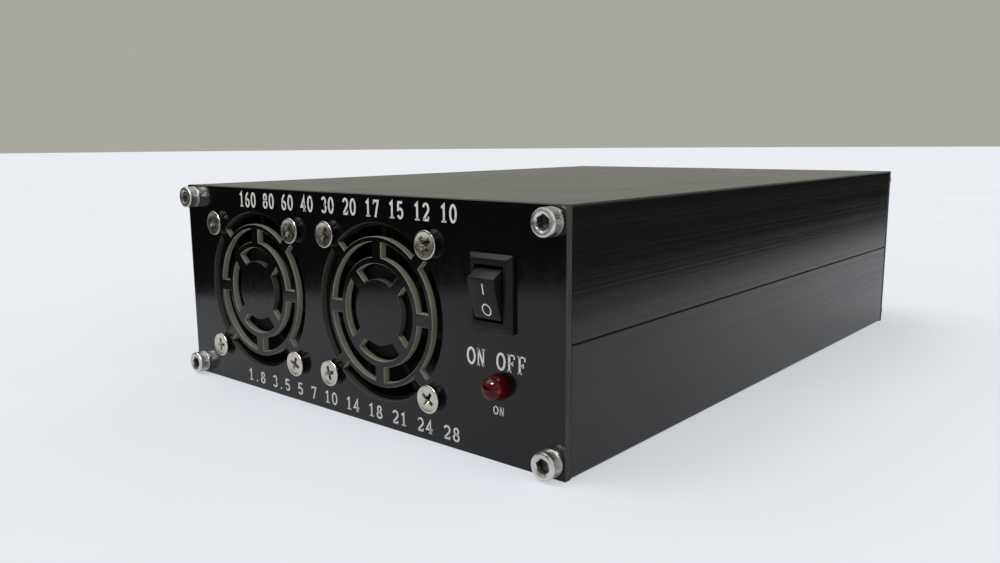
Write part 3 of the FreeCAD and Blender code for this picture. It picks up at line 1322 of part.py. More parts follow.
def input_transformer():
    """A small ferrite block with two turns through its bores."""
    core = body("input_transformer_core")
    length = S.input_core_length
    twin_bore_block(core, "input_ferrite", S.input_core_width, S.input_core_height, length,
                    S.input_core_bore, -length / 2)
    winding = body("input_transformer_winding")
    strap_loops(winding, "input_turn", S.input_core_width / 4, length + S.wire_play * 2,
                S.input_strap)
    for piece in (core, winding):
        bind(piece, Placement__Base__y=BOARD_START + S.input_core_place,
             Placement__Base__z=BOARD_TOP + S.input_core_height / 2)


def toroid(label, outside, inside, thick, x, y, *steps):
    """A ring core that stands on edge, and the turns of wire round it, as two nodes."""
    level = BOARD_TOP + outside + S.wire + S.wire_play
    core = body(label + "_core")
    face = sketch_on(core, label + "_face", "XZ_Plane")
    for radius in (outside, inside):
        polygon(face, 0, 0, radius, RING_SIDES * 2)
    pad(core, face, thick, both=True)
    winding = body(label + "_winding")
    turn_face = sketch_on(winding, label + "_turn", "XY_Plane")
    for grow in (S.wire_play, S.wire_play + S.wire):
        rectangle(turn_face, (inside + outside) / 2, 0, outside - inside + grow * 2,
                  thick + grow * 2)
    one_turn = pad(winding, turn_face, S.wire, both=True)
    spread(winding, [one_turn], (ring, "Y_Axis", S.coil_turns), *steps)
    if steps:
        spread(core, [], *steps)
    for piece in (core, winding):
        bind(piece, Placement__Base__x=x, Placement__Base__y=y, Placement__Base__z=level)


def relays():
    """Two sealed relays, each with a cover that oversails its base."""
    pair = body("relays")
    foot = sketch_on(pair, "relay_foot", "XY_Plane", BOARD_TOP)
    rectangle(foot, 0, 0, S.relay_width - S.relay_step * 2, S.relay_length - S.relay_step * 2)
    pad(pair, foot, S.relay_base)
    cover = sketch_on(pair, "relay_cover", "XY_Plane", BOARD_TOP + S.relay_base)
    rectangle(cover, 0, 0, S.relay_width, S.relay_length)
    pad(pair, cover, S.relay_height - S.relay_base)
    spread(pair, [], (row, "Y_Axis", S.relay_pitch))
    bind(pair, Placement__Base__x=HALF_WIDTH - S.relay_side,
         Placement__Base__y=BOARD_START + S.relay_place)


def supply_capacitors():
    """Two electrolytic capacitors on their narrower rubber seals."""
    cans = body("supply_capacitors")
    seal = sketch_on(cans, "capacitor_seal", "XY_Plane", BOARD_TOP)
    polygon(seal, 0, 0, S.capacitor_seal, RING_SIDES * 2)
    pad(cans, seal, S.capacitor_height)
    can = sketch_on(cans, "capacitor_can", "XY_Plane", BOARD_TOP + S.capacitor_lift)
    polygon(can, 0, 0, S.capacitor_radius, RING_SIDES * 2)
    pad(cans, can, S.capacitor_height)
    spread(cans, [], (row, "Y_Axis", S.capacitor_pitch))
    bind(cans, Placement__Base__x=HALF_WIDTH - S.capacitor_side,
         Placement__Base__y=BOARD_START + S.capacitor_place)


def filter_capacitors():
    """Two rows of upright filter capacitors beside the toroids."""
    discs = body("filter_capacitors")
    sketch = sketch_on(discs, "disc_outline", "XY_Plane", BOARD_TOP)
    rectangle(sketch, 0, 0, S.disc_width, S.disc_thick)
    pad(discs, sketch, S.disc_height)
    spread(discs, [], (row, "X_Axis", COIL_PITCH, S.disc_count), (row, "Y_Axis", S.filter_pitch))
    bind(discs, Placement__Base__x=COIL_X, Placement__Base__y=COIL_Y + S.filter_pitch / 2)


def bias_trimmer():
    """A trimming potentiometer: a square body, and a dial that a screwdriver turns."""
    case = body("bias_trimmer_body")
    square = sketch_on(case, "trimmer_square", "XY_Plane", BOARD_TOP)
    rectangle(square, 0, 0, S.trimmer_side, S.trimmer_side)
    pad(case, square, S.trimmer_height)
    top = BOARD_TOP + S.trimmer_height
    recess = sketch_on(case, "trimmer_recess", "XY_Plane", top)
    circle(recess, 0, 0, S.trimmer_dial + S.trimmer_play)
    pocket(case, recess, S.trimmer_dial_thick)
    dial = body("bias_trimmer_dial")
    disc = sketch_on(dial, "trimmer_disc", "XY_Plane", top - S.trimmer_dial_thick + S.trimmer_play)
    circle(disc, 0, 0, S.trimmer_dial)
    pad(dial, disc, S.trimmer_dial_thick)
    slot = sketch_on(dial, "trimmer_slot", "XY_Plane", top + S.trimmer_play)
    rectangle(slot, 0, 0, S.trimmer_side, S.trimmer_slot)
    pocket(dial, slot, S.trimmer_slot)
    for piece in (case, dial):
        bind(piece, Placement__Base__x=S.trimmer_x,
             Placement__Base__y=BOARD_START + S.trimmer_place)


def bias_regulator():
    """An upright three-legged regulator with its metal tab."""
    mould_low = BOARD_TOP + S.lead_pitch
    height = S.regulator_height
    regulator_y = BOARD_START + S.regulator_place
    tab = centred_box("regulator_tab", (S.transistor_width, S.tab_thick, height),
                      S.regulator_x, regulator_y, mould_low)
    notch = centred_box("regulator_notch", (CLEAR_HOLE * 2, S.tab_thick, S.tab_hole),
                        S.regulator_x, regulator_y, mould_low + height - S.tab_hole)
    mould = centred_box("regulator_mould",
                        (S.transistor_width, S.transistor_thick, S.transistor_body),
                        S.regulator_x, regulator_y - (S.transistor_thick - S.tab_thick) / 2,
                        mould_low)
    pieces = [cut("regulator_plate", tab, notch), mould]
    for step in (-1, 0, 1):
        pieces.append(centred_box("regulator_leg", (S.lead_width, S.lead_thick, S.lead_pitch),
                                  S.regulator_x + S.lead_pitch * step,
                                  regulator_y - S.tab_thick, BOARD_TOP))
    group("bias_regulator", fuse("regulator_solid", *pieces))


# ---------------------------------------------------------------- sockets at the rear

SOCKET_FLOOR = REAR_FACE + S.flange_thick
SOCKET_RIM = SOCKET_FLOOR + S.barrel_length


def rf_socket_shell(label, x):
    """Square flange and barrel with a notched rim."""
    shell = body(label)
    flange = sketch_on(shell, label + "_flange", "XZ_Plane", -REAR_FACE)
    rectangle(flange, 0, 0, S.flange_width, S.flange_width)
    for side in (-1, 1):
        for height in (-1, 1):
            polygon(flange, S.flange_holes / 2 * side, S.flange_holes / 2 * height, CLEAR_HOLE,
                    HOLE_SIDES)
    pad(shell, flange, S.flange_thick, backwards=True)
    barrel = sketch_on(shell, label + "_barrel", "XZ_Plane", -REAR_INNER)
    circle(barrel, 0, 0, S.barrel_radius)
    pad(shell, barrel, SOCKET_RIM - REAR_INNER, backwards=True)
    bore = sketch_on(shell, label + "_bore", "XZ_Plane", -SOCKET_RIM)
    polygon(bore, 0, 0, S.barrel_bore, RING_SIDES * 2)
    pocket(shell, bore, S.barrel_length, backwards=True)
    neck = sketch_on(shell, label + "_neck", "XZ_Plane", -REAR_FACE)
    polygon(neck, 0, 0, S.insulator_neck + S.socket_play, RING_SIDES)
    pocket(shell, neck)
    notch = sketch_on(shell, label + "_notch", "XZ_Plane", -SOCKET_RIM)
    margin = (S.barrel_radius - S.barrel_bore) * 2
    rectangle(notch, (S.barrel_radius + S.barrel_bore) / 2, 0, margin, S.rim_notch)
    first = pocket(shell, notch, S.rim_notch, backwards=True)
    spread(shell, [first], (ring, notch, QUARTERS))
    bind(shell, Placement__Base__x=x, Placement__Base__z=SOCKET_Z)


def socket_inners():
    """Insulators and centre contacts of both RF sockets."""
    front, back = SOCKET_FLOOR + S.insulator_front, REAR_INNER - S.insulator_rear
    insulators = body("rf_socket_insulators")
    wide = sketch_on(insulators, "insulator_front", "XZ_Plane", -SOCKET_FLOOR)
    polygon(wide, 0, 0, S.barrel_bore - S.socket_play, RING_SIDES * 2)
    pad(insulators, wide, S.insulator_front, backwards=True)
    neck = sketch_on(insulators, "insulator_neck", "XZ_Plane", -back)
    polygon(neck, 0, 0, S.insulator_neck, RING_SIDES)
    pad(insulators, neck, SOCKET_FLOOR - back, backwards=True)
    stem_hole = sketch_on(insulators, "insulator_hole", "XZ_Plane", -back)
    polygon(stem_hole, 0, 0, S.contact_stem + S.socket_play, HOLE_SIDES)
    pocket(insulators, stem_hole)
    contacts = body("rf_socket_contacts")
    tube = sketch_on(contacts, "contact_tube", "XZ_Plane", -front)
    polygon(tube, 0, 0, S.contact_radius, HEAD_SIDES)
    pad(contacts, tube, SOCKET_RIM - S.contact_short - front, backwards=True)
    stem = sketch_on(contacts, "contact_stem", "XZ_Plane", -front)
    polygon(stem, 0, 0, S.contact_stem, HOLE_SIDES)
    pad(contacts, stem, front - back)
    cup = sketch_on(contacts, "contact_cup", "XZ_Plane", -back)
    polygon(cup, 0, 0, S.cup_radius, HOLE_SIDES)
    pad(contacts, cup, S.cup_length)
    hole = sketch_on(contacts, "contact_hole", "XZ_Plane", -(SOCKET_RIM - S.contact_short))
    polygon(hole, 0, 0, S.contact_bore, HEAD_SIDES)
    pocket(contacts, hole, SOCKET_RIM - front - S.contact_short * 2, backwards=True)
    for piece in (insulators, contacts):
        spread(piece, [], (row, "X_Axis", INPUT_X - OUTPUT_X))
        bind(piece, Placement__Base__x=OUTPUT_X, Placement__Base__z=SOCKET_Z)


def rear_fastener_set(label, draw):
    """Four of a fastener at each RF socket and two at the DC inlet."""
    at_sockets = body(label + "_at_sockets")
    at_inlet = body(label + "_at_inlet")
    for piece in (at_sockets, at_inlet):
        nodes.remove(piece)
        draw(piece, piece.Label)
    spread(at_sockets, [], *socket_screw_rows())
    bind(at_sockets, Placement__Base__x=OUTPUT_X - S.flange_holes / 2,
         Placement__Base__z=SOCKET_Z - S.flange_holes / 2)
    spread(at_inlet, [], (row, "Z_Axis", S.inlet_holes))
    bind(at_inlet, Placement__Base__x=INLET_X, Placement__Base__z=SOCKET_Z - S.inlet_holes / 2)
    group(label, at_sockets, at_inlet)


def rear_screw(piece, name):
    """A pan-head screw on the Y axis whose head faces the back."""
    head = sketch_on(piece, name + "_head", "XZ_Plane", -SOCKET_FLOOR)
    polygon(head, 0, 0, S.pan_head_radius, RING_SIDES)
    pad(piece, head, S.pan_head_height, backwards=True)
    hex_shank(piece, name + "_shank", 0, SOCKET_FLOOR, S.socket_screw_length, False)


def rear_nut(piece, name):
    """A hexagon nut on the Y axis, inside the rear panel."""
    sketch = sketch_on(piece, name + "_outline", "XZ_Plane", -(REAR_INNER - S.nut_thick))
    hexagon(sketch, 0, 0, S.nut_width)
    polygon(sketch, 0, 0, THREAD_HOLE, SHANK_SIDES)
    pad(piece, sketch, S.nut_thick, backwards=True)


def keying_jack():
    """A phono jack: shell with a neck through the panel, insulator, contact and nut."""
    floor = REAR_FACE + S.jack_flange_thick
    rim = REAR_FACE + S.jack_length
    back = REAR_INNER - S.jack_neck_length
    shell = body("key_jack_shell")
    for name, radius, start, end in (("flange", S.jack_flange, REAR_FACE, floor),
                                     ("barrel", S.jack_barrel, REAR_FACE, rim)):
        sketch = sketch_on(shell, "jack_" + name, "XZ_Plane", -start)
        polygon(sketch, 0, 0, radius, HEAD_SIDES)
        pad(shell, sketch, end - start, backwards=True)
    neck = sketch_on(shell, "jack_neck", "XZ_Plane", -back)
    polygon(neck, 0, 0, S.jack_neck, RING_SIDES)
    pad(shell, neck, REAR_FACE - back, backwards=True)
    neck_bore = sketch_on(shell, "jack_neck_bore", "XZ_Plane", -back)
    polygon(neck_bore, 0, 0, S.jack_neck_bore, HOLE_SIDES)
    pocket(shell, neck_bore)
    bore = sketch_on(shell, "jack_bore", "XZ_Plane", -rim)
    polygon(bore, 0, 0, S.jack_bore, HEAD_SIDES)
    pocket(shell, bore, rim - floor, backwards=True)
    insulator = body("key_jack_insulator")
    plug = sketch_on(insulator, "jack_insulator_front", "XZ_Plane", -floor)
    polygon(plug, 0, 0, S.jack_bore - S.socket_play, HEAD_SIDES)
    pad(insulator, plug, rim - S.jack_flange_thick - floor, backwards=True)
    tail = sketch_on(insulator, "jack_insulator_tail", "XZ_Plane", -back)
    polygon(tail, 0, 0, S.jack_neck_bore - S.socket_play, HOLE_SIDES)
    pad(insulator, tail, floor - back, backwards=True)
    pin_hole = sketch_on(insulator, "jack_pin_hole", "XZ_Plane", -(rim - S.jack_flange_thick))
    polygon(pin_hole, 0, 0, S.jack_pin, HEAD_SIDES)
    pocket(insulator, pin_hole, rim - floor - S.jack_flange_thick * 2, backwards=True)
    stem_hole = sketch_on(insulator, "jack_stem_hole", "XZ_Plane", -back)
    polygon(stem_hole, 0, 0, S.jack_stem + S.socket_play, HOLE_SIDES)
    pocket(insulator, stem_hole)
    contact = body("key_jack_contact")
    stem = sketch_on(contact, "jack_stem", "XZ_Plane", -(back - S.jack_nut_thick))
    polygon(stem, 0, 0, S.jack_stem, HOLE_SIDES)
    pad(contact, stem, floor + S.jack_flange_thick - back + S.jack_nut_thick, backwards=True)
    nut = body("key_jack_nut")
    sketch = sketch_on(nut, "jack_nut_outline", "XZ_Plane", -(REAR_INNER - S.jack_nut_thick))
    hexagon(sketch, 0, 0, S.jack_nut_width)
    polygon(sketch, 0, 0, S.jack_neck + S.socket_play, RING_SIDES)
    pad(nut, sketch, S.jack_nut_thick, backwards=True)
    for piece in (shell, insulator, contact, nut):
        bind(piece, Placement__Base__x=JACK_X, Placement__Base__z=JACK_Z)


def keyed_outline(sketch, width, height, corner):
    """A rectangle whose two upper corners are cut off, so that a plug fits one way only."""
    half, rise = width / 2, height / 2
    outline(sketch, [(-half, -rise), (half, -rise), (half, rise - corner), (half - corner, rise),
                     (-half + corner, rise), (-half, rise - corner)])


def dc_inlet():
    """A flanged two-pole inlet with a keyed shroud, and its pins."""
    housing = body("dc_inlet_housing")
    flange = sketch_on(housing, "inlet_flange", "XZ_Plane", -REAR_FACE)
    rectangle(flange, 0, 0, S.inlet_flange_width, S.inlet_flange_height)
    for height in (-1, 1):
        polygon(flange, 0, S.inlet_holes / 2 * height, CLEAR_HOLE, HOLE_SIDES)
    pad(housing, flange, S.flange_thick, backwards=True)
    back = REAR_INNER - S.inlet_rear
    rim = SOCKET_FLOOR + S.inlet_proud
    shroud = sketch_on(housing, "inlet_shroud", "XZ_Plane", -back)
    keyed_outline(shroud, S.inlet_width, S.inlet_height, S.inlet_corner)
    pad(housing, shroud, rim - back, backwards=True)
    hollow = sketch_on(housing, "inlet_hollow", "XZ_Plane", -rim)
    keyed_outline(hollow, S.inlet_width - S.inlet_wall * 2, S.inlet_height - S.inlet_wall * 2,
                  S.inlet_corner - S.inlet_wall / 2)
    pocket(housing, hollow, S.inlet_proud, backwards=True)
    holes = sketch_on(housing, "inlet_pin_holes", "XZ_Plane", -back)
    for height in (-1, 1):
        polygon(holes, 0, S.inlet_pin_pitch / 2 * height,
                around(S.inlet_pin + S.socket_play, HOLE_SIDES), HOLE_SIDES)
    pocket(housing, holes)
    bind(housing, Placement__Base__x=INLET_X, Placement__Base__z=SOCKET_Z)
    pins = body("dc_inlet_pins")
    section = sketch_on(pins, "inlet_pin_section", "XZ_Plane", -(back - S.inlet_pin_rear))
    circle(section, 0, 0, S.inlet_pin)
    pad(pins, section, rim - S.inlet_pin_short - back + S.inlet_pin_rear, backwards=True)
    spread(pins, [], (row, "Z_Axis", S.inlet_pin_pitch))
    bind(pins, Placement__Base__x=INLET_X, Placement__Base__z=SOCKET_Z - S.inlet_pin_pitch / 2)


# ---------------------------------------------------------------- build and export

def main():
    case_half("lower_shell", False)
    case_half("upper_shell", True)
    front_panel()
    rear_panel()
    corner_screws("front_panel_screws", FRONT_FACE, True)
    corner_screws("rear_panel_screws", REAR_FACE, False)
    fan_screws()
    fan_nuts()
    for side, centre in zip(("left", "right"), fan_centres()):
        fan(side, centre)
    fan_motors()
    switch_housing()
    switch_rocker()
    switch_terminals()
    power_led()
    heat_sink()
    amplifier_board()
    board_fasteners()
    output_transformer()
    input_transformer()
    toroid("filter", S.filter_core_out, S.filter_core_in, S.filter_core_thick, COIL_X, COIL_Y,
           (row, "X_Axis", COIL_PITCH), (row, "Y_Axis", S.filter_pitch))
    toroid("choke", S.choke_out, S.choke_in, S.choke_thick, S.choke_side - HALF_WIDTH,
           BOARD_START + S.choke_place)
    relays()
    supply_capacitors()
    filter_capacitors()
    bias_trimmer()
    bias_regulator()
    rf_socket_shell("rf_output_shell", OUTPUT_X)
    rf_socket_shell("rf_input_shell", INPUT_X)
    socket_inners()
    rear_fastener_set("socket_screws", rear_screw)
    rear_fastener_set("socket_nuts", rear_nut)
    keying_jack()
    dc_inlet()
    doc.recompute()
    check_and_write()


def check_and_write():
    """Refuse a failed or empty object, then write one STEP file for each node."""
    for thing in doc.Objects:
        if "Invalid" in thing.State or "Error" in thing.State:
            raise RuntimeError(f"{thing.Name} failed: {thing.getStatusString()}")
    for node in nodes:
        shape = node.Shape
        if shape.isNull() or not shape.isValid() or not shape.Solids:
            raise RuntimeError(f"{node.Label} has no valid solid")
    os.makedirs("parts", exist_ok=True)
    for node in nodes:
        node.Shape.exportStep(os.path.join("parts", node.Label + ".step"))
        print(node.Label, len(node.Shape.Solids), round(node.Shape.Volume, 1))


main()
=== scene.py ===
import json
import math

import bmesh
import bpy
from bpy.props import FloatProperty, FloatVectorProperty, IntProperty, PointerProperty
from mathutils import Matrix, Vector
from mathutils.bvhtree import BVHTree


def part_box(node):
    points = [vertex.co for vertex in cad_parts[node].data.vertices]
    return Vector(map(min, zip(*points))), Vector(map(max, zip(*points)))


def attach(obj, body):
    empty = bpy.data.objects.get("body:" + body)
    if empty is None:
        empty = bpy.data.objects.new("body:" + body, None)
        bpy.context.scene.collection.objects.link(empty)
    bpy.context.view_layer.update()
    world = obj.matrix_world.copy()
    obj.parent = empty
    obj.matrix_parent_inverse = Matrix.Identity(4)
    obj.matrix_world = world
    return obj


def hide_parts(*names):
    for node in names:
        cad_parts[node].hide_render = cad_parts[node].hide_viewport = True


bl_info = {
    "name": "Radio power amplifier",
    "version": (1, 0, 0),
    "blender": (4, 5, 0),
    "location": "3D View > Sidebar > Amplifier",
    "description": "Finishes, fasteners, switch, lamp and sockets of a small radio power amplifier",
    "category": "Object",
}

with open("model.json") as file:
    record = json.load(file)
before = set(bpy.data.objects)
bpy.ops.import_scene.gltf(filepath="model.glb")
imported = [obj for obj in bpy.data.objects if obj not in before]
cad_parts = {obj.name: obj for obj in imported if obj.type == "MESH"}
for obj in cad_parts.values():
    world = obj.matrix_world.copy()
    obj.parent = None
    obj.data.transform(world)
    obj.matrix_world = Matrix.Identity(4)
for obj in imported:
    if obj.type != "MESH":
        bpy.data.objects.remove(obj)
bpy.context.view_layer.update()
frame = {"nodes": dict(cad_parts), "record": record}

MM = 0.001
# Painted shade: metal is drawn darker in recesses by this attribute, in place of the shade that falls
# there.
PAINTED_SHADE_ATTRIBUTE = "painted_recess_shade"                # attribute: how deep a corner lies in a recess, from 0 to 1
INK = "white print"
FASTENER_TREE = "Fasteners at places"
SMOOTH_ANGLE = math.radians(35)
FLAT_FACE = 0.9              # how squarely a panel's flat face looks along y, at least


def near(node):
    """The corner of a node's box with the lowest x, y and z."""
    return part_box(node)[0]


def far(node):
    """The corner of a node's box with the highest x, y and z."""
    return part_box(node)[1]


def middle(node):
    """The middle of a node's box."""
    return (near(node) + far(node)) / 2


def long(node):
    """How far a node's box reaches along y."""
    return far(node).y - near(node).y


FRONT_FACE = near("front_panel").y
REAR_FACE = far("rear_panel").y
TOP = far("front_panel").z
FAN_HOLES = 32 * MM
GRILLE_HUB = 7.3 * MM
GRILLE_RIM = 19.5 * MM
RIM_MARGIN = 0.5 * MM
FLAT_HEAD_RIM = 0.05        # straight rim of a countersunk head, as a share of its radius
THREAD_LEAD = 0.3 * MM      # plain stretch at each end of a thread
CUT_MARGIN = 0.2 * MM       # how far a cutter stands out of what it cuts
RING_HEIGHT = 1.1           # of the rocker's ring mark, as a share of its width
FLOOR_RADIUS = 6.0
CARD_HEIGHT = 0.085
DARK_CARDS = {"dark card in front": ((-0.205, -0.113), (0.75, -1.068)),
              "dark card beside": ((0.150, -0.05), (0.150, 1.8))}
WINDOW_PLACE, WINDOW_WIDTH = (0.099, -0.298, 0.363), 0.11
KEY_PLACE, KEY_SPREAD = (-0.45, -0.25, 0.9), 45         # spreads in degrees
FILL_PLACE, FILL_SPREAD = (0.8, 0.2, 0.7), 60
CAMERA_PLACE = (0.1500, -0.2120, 0.0620)
CAMERA_ANGLES = (40.54, -9.40, -0.4)                    # yaw, pitch and roll in degrees


# --- settings

def size(name, description, millimetres):
    """A length that the user can change, given in millimetres."""
    return FloatProperty(name=name, description=description, default=millimetres * MM,
                         unit="LENGTH", precision=6)


def sizes_of(name, description, *millimetres):
    """Three lengths that belong together."""
    return FloatVectorProperty(name=name, description=description, unit="LENGTH", precision=6,
                               default=[part * MM for part in millimetres])


def paint(name, description, *default):
    """A colour that the user can change."""
    return FloatVectorProperty(name=name, description=description, subtype="COLOR",
                               default=default, min=0, max=1)


def amount(name, description, default):
    """A plain number, from zero up, that the user can change."""
    return FloatProperty(name=name, description=description, default=default, min=0)


class CaseSettings(bpy.types.PropertyGroup):
    """Colours of the case and of its end panels."""

    anodised: paint("Anodised", "Black of the extruded case", 0.0070, 0.0072, 0.0075)
    solder_mask: paint("Solder mask", "Black of the end panels", 0.0032, 0.0033, 0.0038)
    board_edge: paint("Board edge", "Cut glass-fibre board", 0.205, 0.206, 0.165)
    moulding: paint("Moulding", "Plastic of the switch and inlet", 0.0050, 0.0051, 0.0055)
    nickel: paint("Nickel", "Plating of the fan screws and sockets", 0.62, 0.59, 0.52)
    steel: paint("Steel", "Steel of the cap screws", 0.64, 0.635, 0.61)
    panel_chamfer: size("Panel chamfer", "Broken edge round every cut in the front panel", 0.12)


class PrintSettings(bpy.types.PropertyGroup):
    """Lettering of the front panel; heights of rows are above the floor."""

    ink: paint("Ink", "White print on the panels", 0.68, 0.69, 0.68)
    thickness: size("Thickness", "How far the print stands off the panel", 0.03)
    row_left: size("Rows from the left", "Start of both rows of numbers", 24)
    row_width: size("Width of the rows", "Length of both rows of numbers", 75)
    upper_z: size("Upper row", "Middle of the upper row", 47.9)
    upper_height: size("Upper numbers", "Their height", 3.7)
    lower_z: size("Lower row", "Middle of the lower row", 3.0)
    lower_height: size("Lower numbers", "Their height", 3.0)
    switch_label: sizes_of("Switch label", "Middle, height and pitch of letters", 20.3, 3.5, 2.55)
    lamp_label: sizes_of("Lamp label", "Middle, height and pitch of letters", 10.4, 1.7, 1.5)


class FastenerSettings(bpy.types.PropertyGroup):
    """Sizes of the screws and nuts."""

    thread_pitch: size("Thread pitch", "From crest to crest", 0.5)
    thread_radius: size("Thread radius", "Outside radius of the threads", 1.5)
    knurls: IntProperty(name="Knurls", description="Flutes round a socket head", default=36, min=8)
    knurl_depth: size("Knurl depth", "Depth of a flute", 0.12)
    cap_radius: size("Cap head", "Radius of a socket head", 2.7)
    cap_height: size("Cap head height", "Height of a socket head", 3.0)
    key_width: size("Key", "Hexagon socket across its flats", 2.8)
    key_depth: size("Key depth", "Depth of the hexagon socket", 1.6)
    flat_radius: size("Flat head", "Radius of a countersunk head", 3.0)
    pan_radius: size("Pan head", "Radius of a pan head", 2.8)
    pan_height: size("Pan head height", "Height of a pan head", 2.0)
    recess_depth: size("Recess depth", "Depth of a cross recess", 1.5)
    nut_width: size("Nut", "Nut across its flats", 5.5)
    turn_seed: IntProperty(name="Turn seed", description="Seed of the angles at which screws stopped",
                           default=4, min=0)


class SwitchSettings(bpy.types.PropertyGroup):
    """Rounded edges and marks of the rocker switch, and the lamp."""

    bezel_round: size("Bezel edge", "Rounding of the bezel", 0.16)
    rocker_round: size("Rocker edge", "Rounding of the rocker", 0.22)
    ink: size("Mark thickness", "How far the marks stand off the rocker", 0.04)
    mark_shift: size("Mark shift", "Marks to the right of the rocker's middle", 0.35)
    bar: sizes_of("Bar", "Its middle above the rocker's, length and width", 1.2, 2.1, 0.26)
    ring: sizes_of("Ring", "Its middle above the rocker's, radius and width", -2.9, 1.0, 0.24)
    lens: paint("Lens", "Tint of the lamp", 0.12, 0.002, 0.008)
    lens_radius: size("Lens radius", "Radius of the lamp's dome", 2.5)
    flange_radius: size("Lens flange", "Radius of the lamp's flange", 2.9)
    flange_thick: size("Lens flange thickness", "Thickness of the lamp's flange", 1.0)


class SocketSettings(bpy.types.PropertyGroup):
    """Turned parts on the rear panel."""

    barrel_radius: size("Barrel", "Outside radius of an RF socket's thread", 7.94)
    barrel_bore: size("Bore", "Inside radius of an RF socket", 6.2)
    barrel_pitch: size("Barrel thread", "Pitch of that thread", 1.06)
    core_radius: size("Insulator", "Radius of an RF socket's insulator", 4.95)
    flange_thick: size("Flange", "Thickness of an RF socket's flange", 2.0)
    flange_holes: size("Flange holes", "Pitch of the flange's fixing holes", 18.2)
    jack_radius: size("Jack collar", "Radius of the keying jack's collar", 5.55)
    jack_bore: size("Jack bore", "Inside radius of the keying jack", 3.1)
    jack_core: size("Jack insulator", "Radius of the jack's insulator", 1.92)
    jack_tail: size("Jack tail", "Radius of the jack behind the panel", 2.9)


class LightSettings(bpy.types.PropertyGroup):
    """Camera and lamps."""

    lens: amount("Lens", "Focal length on a 36 mm sensor", 30.78)
    key: amount("Key lamp", "Light of the large lamp", 1.1)
    fill: amount("Fill lamp", "Light of the lamp on the other side", 0.35)
    sky: amount("Surroundings", "Strength of the even light from all round", 1.8)
    floor_glow: amount("Floor's own light", "Share of the floor that no shadow reaches", 0.5)
    window: amount("Window", "Light of the small lamp overhead that glints on edges", 2.6)


def settings(group):
    """One of the groups of settings, by its name."""
    return getattr(bpy.context.scene, "amplifier_" + group)


# --- finishes

class Nodes:
    """Adds nodes to a tree, sets their sockets and links them."""

    def __init__(self, tree):
        self.tree = tree

    def feed(self, socket, value):
        """Link an output to a socket, or set the socket's value."""
        if isinstance(value, bpy.types.NodeSocket):
            self.tree.links.new(value, socket)
        else:
            socket.default_value = value

    def node(self, kind, sockets, **attributes):
        """Add a node; sockets are given by name or number."""
        made = self.tree.nodes.new("ShaderNode" + kind)
        for name, value in attributes.items():
            setattr(made, name, value)
        for name, value in sockets.items():
            self.feed(made.inputs[name], value)
        return made

    def place(self, stretch=(1, 1, 1)):
        """Object coordinates, stretched."""
        coordinates = self.node("TexCoord", {}).outputs["Object"]
        return self.node("Mapping", {"Vector": coordinates, "Scale": stretch}).outputs["Vector"]

    def noise(self, per_metre, detail=3.0, stretch=(1, 1, 1)):
        """Noise with so many grains to the metre."""
        return self.node("TexNoise", {"Vector": self.place(stretch), "Scale": per_metre,
                                      "Detail": detail}).outputs["Fac"]

    def between(self, value, low, high, start=0.35, end=0.65):
        """A value spread from low to high."""
        sockets = dict(enumerate((value, start, end, low, high)))
        return self.node("MapRange", sockets).outputs["Result"]

    def blend(self, share, first, second):
        """One colour that turns into another."""
        first, second = ((*value, 1.0) if isinstance(value, tuple) else value
                         for value in (first, second))
        made = self.node("Mix", {0: share, 6: first, 7: second}, data_type="RGBA")
        return made.outputs[2]

    def compute(self, operation, *values):
        """A math node."""
        return self.node("Math", dict(enumerate(values)), operation=operation).outputs[0]

    def seen_rays(self, hidden, seen):
        """One number for rays that see a thing, straight on, in a gloss or through glass."""
        path = self.node("LightPath", {})
        flag = path.outputs["Is Camera Ray"]
        for ray in ("Is Transmission Ray", "Is Glossy Ray"):
            flag = self.compute("MAXIMUM", flag, path.outputs[ray])
        return self.between(flag, hidden, seen, 0, 1)


class Finish(Nodes):
    """A procedural material: one shader, and the nodes that feed it."""

    def __init__(self, name, colour, roughness, metallic=0.0, gloss=0.5):
        self.material = bpy.data.materials.new(name)
        self.material.use_nodes = True
        super().__init__(self.material.node_tree)
        self.shader = self.tree.nodes["Principled BSDF"]
        self.colour = tuple(colour)
        self.set("Base Color", (*self.colour, 1.0))
        self.set("Roughness", roughness)
        self.set("Metallic", metallic)
        self.set("Specular IOR Level", gloss)

    def set(self, name, value):
        """Set or feed one of the shader's own sockets."""
        self.feed(self.shader.inputs[name], value)

    def tint(self, pattern, dark, light, start=0.35, end=0.65):
        """Two shades of the finish's own colour that follow a pattern."""
        share = self.between(pattern, 0, 1, start, end)
        return self.blend(share, shade(self.colour, dark), shade(self.colour, light))

    def bump(self, height, depth, strength=1.0):
        """Raise the surface by a pattern of so many metres."""
        sockets = {"Height": height, "Distance": depth, "Strength": strength}
        self.set("Normal", self.node("Bump", sockets).outputs["Normal"])

    def normal_along(self, axis):
        """How squarely the surface faces along x, y or z, from 0 to 1."""
        normal = self.node("TexCoord", {}).outputs["Normal"]
        parts = self.node("SeparateXYZ", {0: normal})
        return self.compute("ABSOLUTE", parts.outputs["XYZ".index(axis)])


def shade(colour, factor):
    """A lighter or darker version of a colour."""
    return tuple(min(1.0, part * factor) for part in colour[:3])


def anodised_finish():
    """Black anodised extrusion with fine die lines along its length."""
    finish = Finish("anodised extrusion", settings("case").anodised, 0.24, gloss=0.3)
    lines = finish.noise(2600, 2.0, stretch=(1, 0.0006, 1))
    bands = finish.noise(160, 2.0, stretch=(1, 0.004, 1))
    finish.set("Base Color", finish.tint(bands, 0.8, 1.35))
    finish.set("Roughness", finish.compute("ADD", finish.between(lines, -0.05, 0.05),
                                           finish.between(finish.noise(38, 3.0), 0.205, 0.225)))
    finish.bump(lines, 0.006 * MM, 0.5)
    return finish.material


